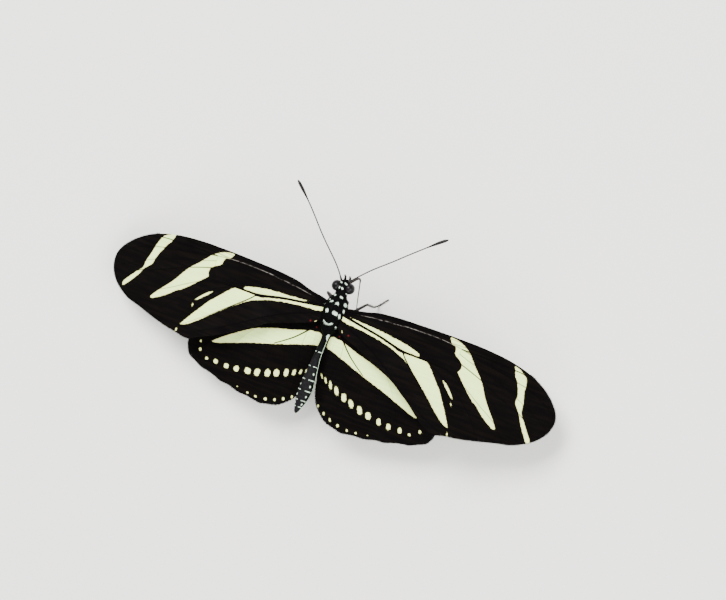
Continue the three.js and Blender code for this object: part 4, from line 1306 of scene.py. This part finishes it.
class LONGWING_OT_legs(bpy.types.Operator):
    """Builds the four walking legs and the two short forelegs"""

    bl_idname = "longwing.legs"
    bl_label = "Legs"

    def execute(self, context):
        colours = context.scene.longwing_colours
        for (leg, side_name), points in LEGS.items():
            points = mirrored(points, SIDES[side_name])
            path, _ = resample(leg_path(points), 0.14)
            radius = leg_radii(path, points)
            foot = path[:, 2] < FLOOR + FOOT_HEIGHT
            joints = np.arange(len(path)) % 5 == 0
            radius = np.where(foot & joints, radius * 1.25, radius)
            bm = bmesh.new()
            tube(bm, path, radius, sides=12)
            rng = np.random.default_rng(3)
            for at in range(8, len(path) - 2, 3):
                for _ in range(2):
                    out = rng.normal(0, 1, 3)
                    ahead = path[at + 1] - path[at]
                    ahead /= np.linalg.norm(ahead)
                    out -= ahead * (out @ ahead)
                    out /= np.linalg.norm(out)
                    if foot[at] and out[2] < 0:
                        out[2] = -out[2]
                    bristle(bm, path, radius, at, out, ahead, (0.14, 0.24), (0.022, 0.016, 0.003))
            limb_object(f"{leg}_{side_name}_cuticle", bm, colours, 0.03, f"{leg}_{side_name}")
        return {"FINISHED"}


# Stage


def soft_light(name, place, aim, size, power):
    """A square area light that points at a place."""
    data = bpy.data.lights.new(name, "AREA")
    data.size = size
    data.energy = power
    made = bpy.data.objects.new(name, data)
    made.location = place
    made.rotation_euler = (Vector(aim) - Vector(place)).to_track_quat("-Z", "Y").to_euler()
    bpy.context.scene.collection.objects.link(made)


class LONGWING_OT_stage(bpy.types.Operator):
    """Builds the floor, the soft studio light and the photo's camera"""

    bl_idname = "longwing.stage"
    bl_label = "Stage"

    def execute(self, context):
        colours = context.scene.longwing_colours
        bm = bmesh.new()
        bmesh.ops.create_grid(bm, x_segments=1, y_segments=1, size=FLOOR_HALF_WIDTH)
        floor = new_object("floor", bm, [shared("matt pale board", floor_material, colours)])

        middle = Vector(body_middle()) * MM
        for name, (place, size, power) in LIGHTS.items():
            soft_light(name, middle + Vector(place), middle, size, power)
        world = bpy.data.worlds.new("studio")
        world.use_nodes = True
        background = world.node_tree.nodes["Background"]
        background.inputs["Color"].default_value = linear(SKY)
        background.inputs["Strength"].default_value = SKY_STRENGTH
        context.scene.world = world

        tilt = math.radians(VIEW_TILT)
        roll = math.radians(VIEW_ROLL)
        away = Vector((math.sin(tilt), 0, math.cos(tilt)))
        right = Vector((math.cos(roll) * math.cos(tilt), math.sin(roll), -math.cos(roll) * math.sin(tilt)))
        up = Vector((-math.sin(roll) * math.cos(tilt), math.cos(roll), math.sin(roll) * math.sin(tilt)))
        data = bpy.data.cameras.new("photo camera")
        data.sensor_width = SENSOR_WIDTH
        data.lens = SENSOR_WIDTH * VIEW_DISTANCE / (PHOTO_SIZE[0] * PHOTO_MM_PER_PIXEL)
        data.clip_start = 0.01
        camera = bpy.data.objects.new("photo camera", data)
        place = (Vector(body_middle()) + Vector(PHOTO_MIDDLE) + away * VIEW_DISTANCE) * MM
        turn = Matrix((right, up, away)).transposed().to_4x4()
        camera.matrix_world = Matrix.Translation(place) @ turn
        context.scene.collection.objects.link(camera)
        context.scene.camera = camera
        return {"FINISHED"}


class LONGWING_PT_panel(bpy.types.Panel):
    """Lists the steps that build the butterfly"""

    bl_label = "Zebra longwing"
    bl_idname = "LONGWING_PT_panel"
    bl_space_type = "VIEW_3D"
    bl_region_type = "UI"
    bl_category = "Longwing"

    def draw(self, context):
        for step in STEPS:
            self.layout.operator(step.bl_idname)
        for group in (context.scene.longwing_sizes, context.scene.longwing_colours):
            box = self.layout.box()
            for name in group.bl_rna.properties.keys():
                if name not in ("rna_type", "name"):
                    box.prop(group, name)


STEPS = (
    LONGWING_OT_skin,
    LONGWING_OT_coat,
    LONGWING_OT_eyes,
    LONGWING_OT_feelers,
    LONGWING_OT_legs,
    LONGWING_OT_forewings,
    LONGWING_OT_hindwings,
    LONGWING_OT_stage,
)
CLASSES = (LongwingSizes, LongwingColours, *STEPS, LONGWING_PT_panel)


def register():
    for each in CLASSES:
        bpy.utils.register_class(each)
    bpy.types.Scene.longwing_sizes = PointerProperty(type=LongwingSizes)
    bpy.types.Scene.longwing_colours = PointerProperty(type=LongwingColours)


def unregister():
    del bpy.types.Scene.longwing_colours
    del bpy.types.Scene.longwing_sizes
    for each in reversed(CLASSES):
        bpy.utils.unregister_class(each)


def main():
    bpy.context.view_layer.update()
    register()
    bpy.ops.longwing.skin()
    bpy.ops.longwing.coat()
    bpy.ops.longwing.eyes()
    bpy.ops.longwing.feelers()
    bpy.ops.longwing.legs()
    bpy.ops.longwing.forewings()
    bpy.ops.longwing.hindwings()
    bpy.ops.longwing.stage()


if __name__ == "__main__":
    main()
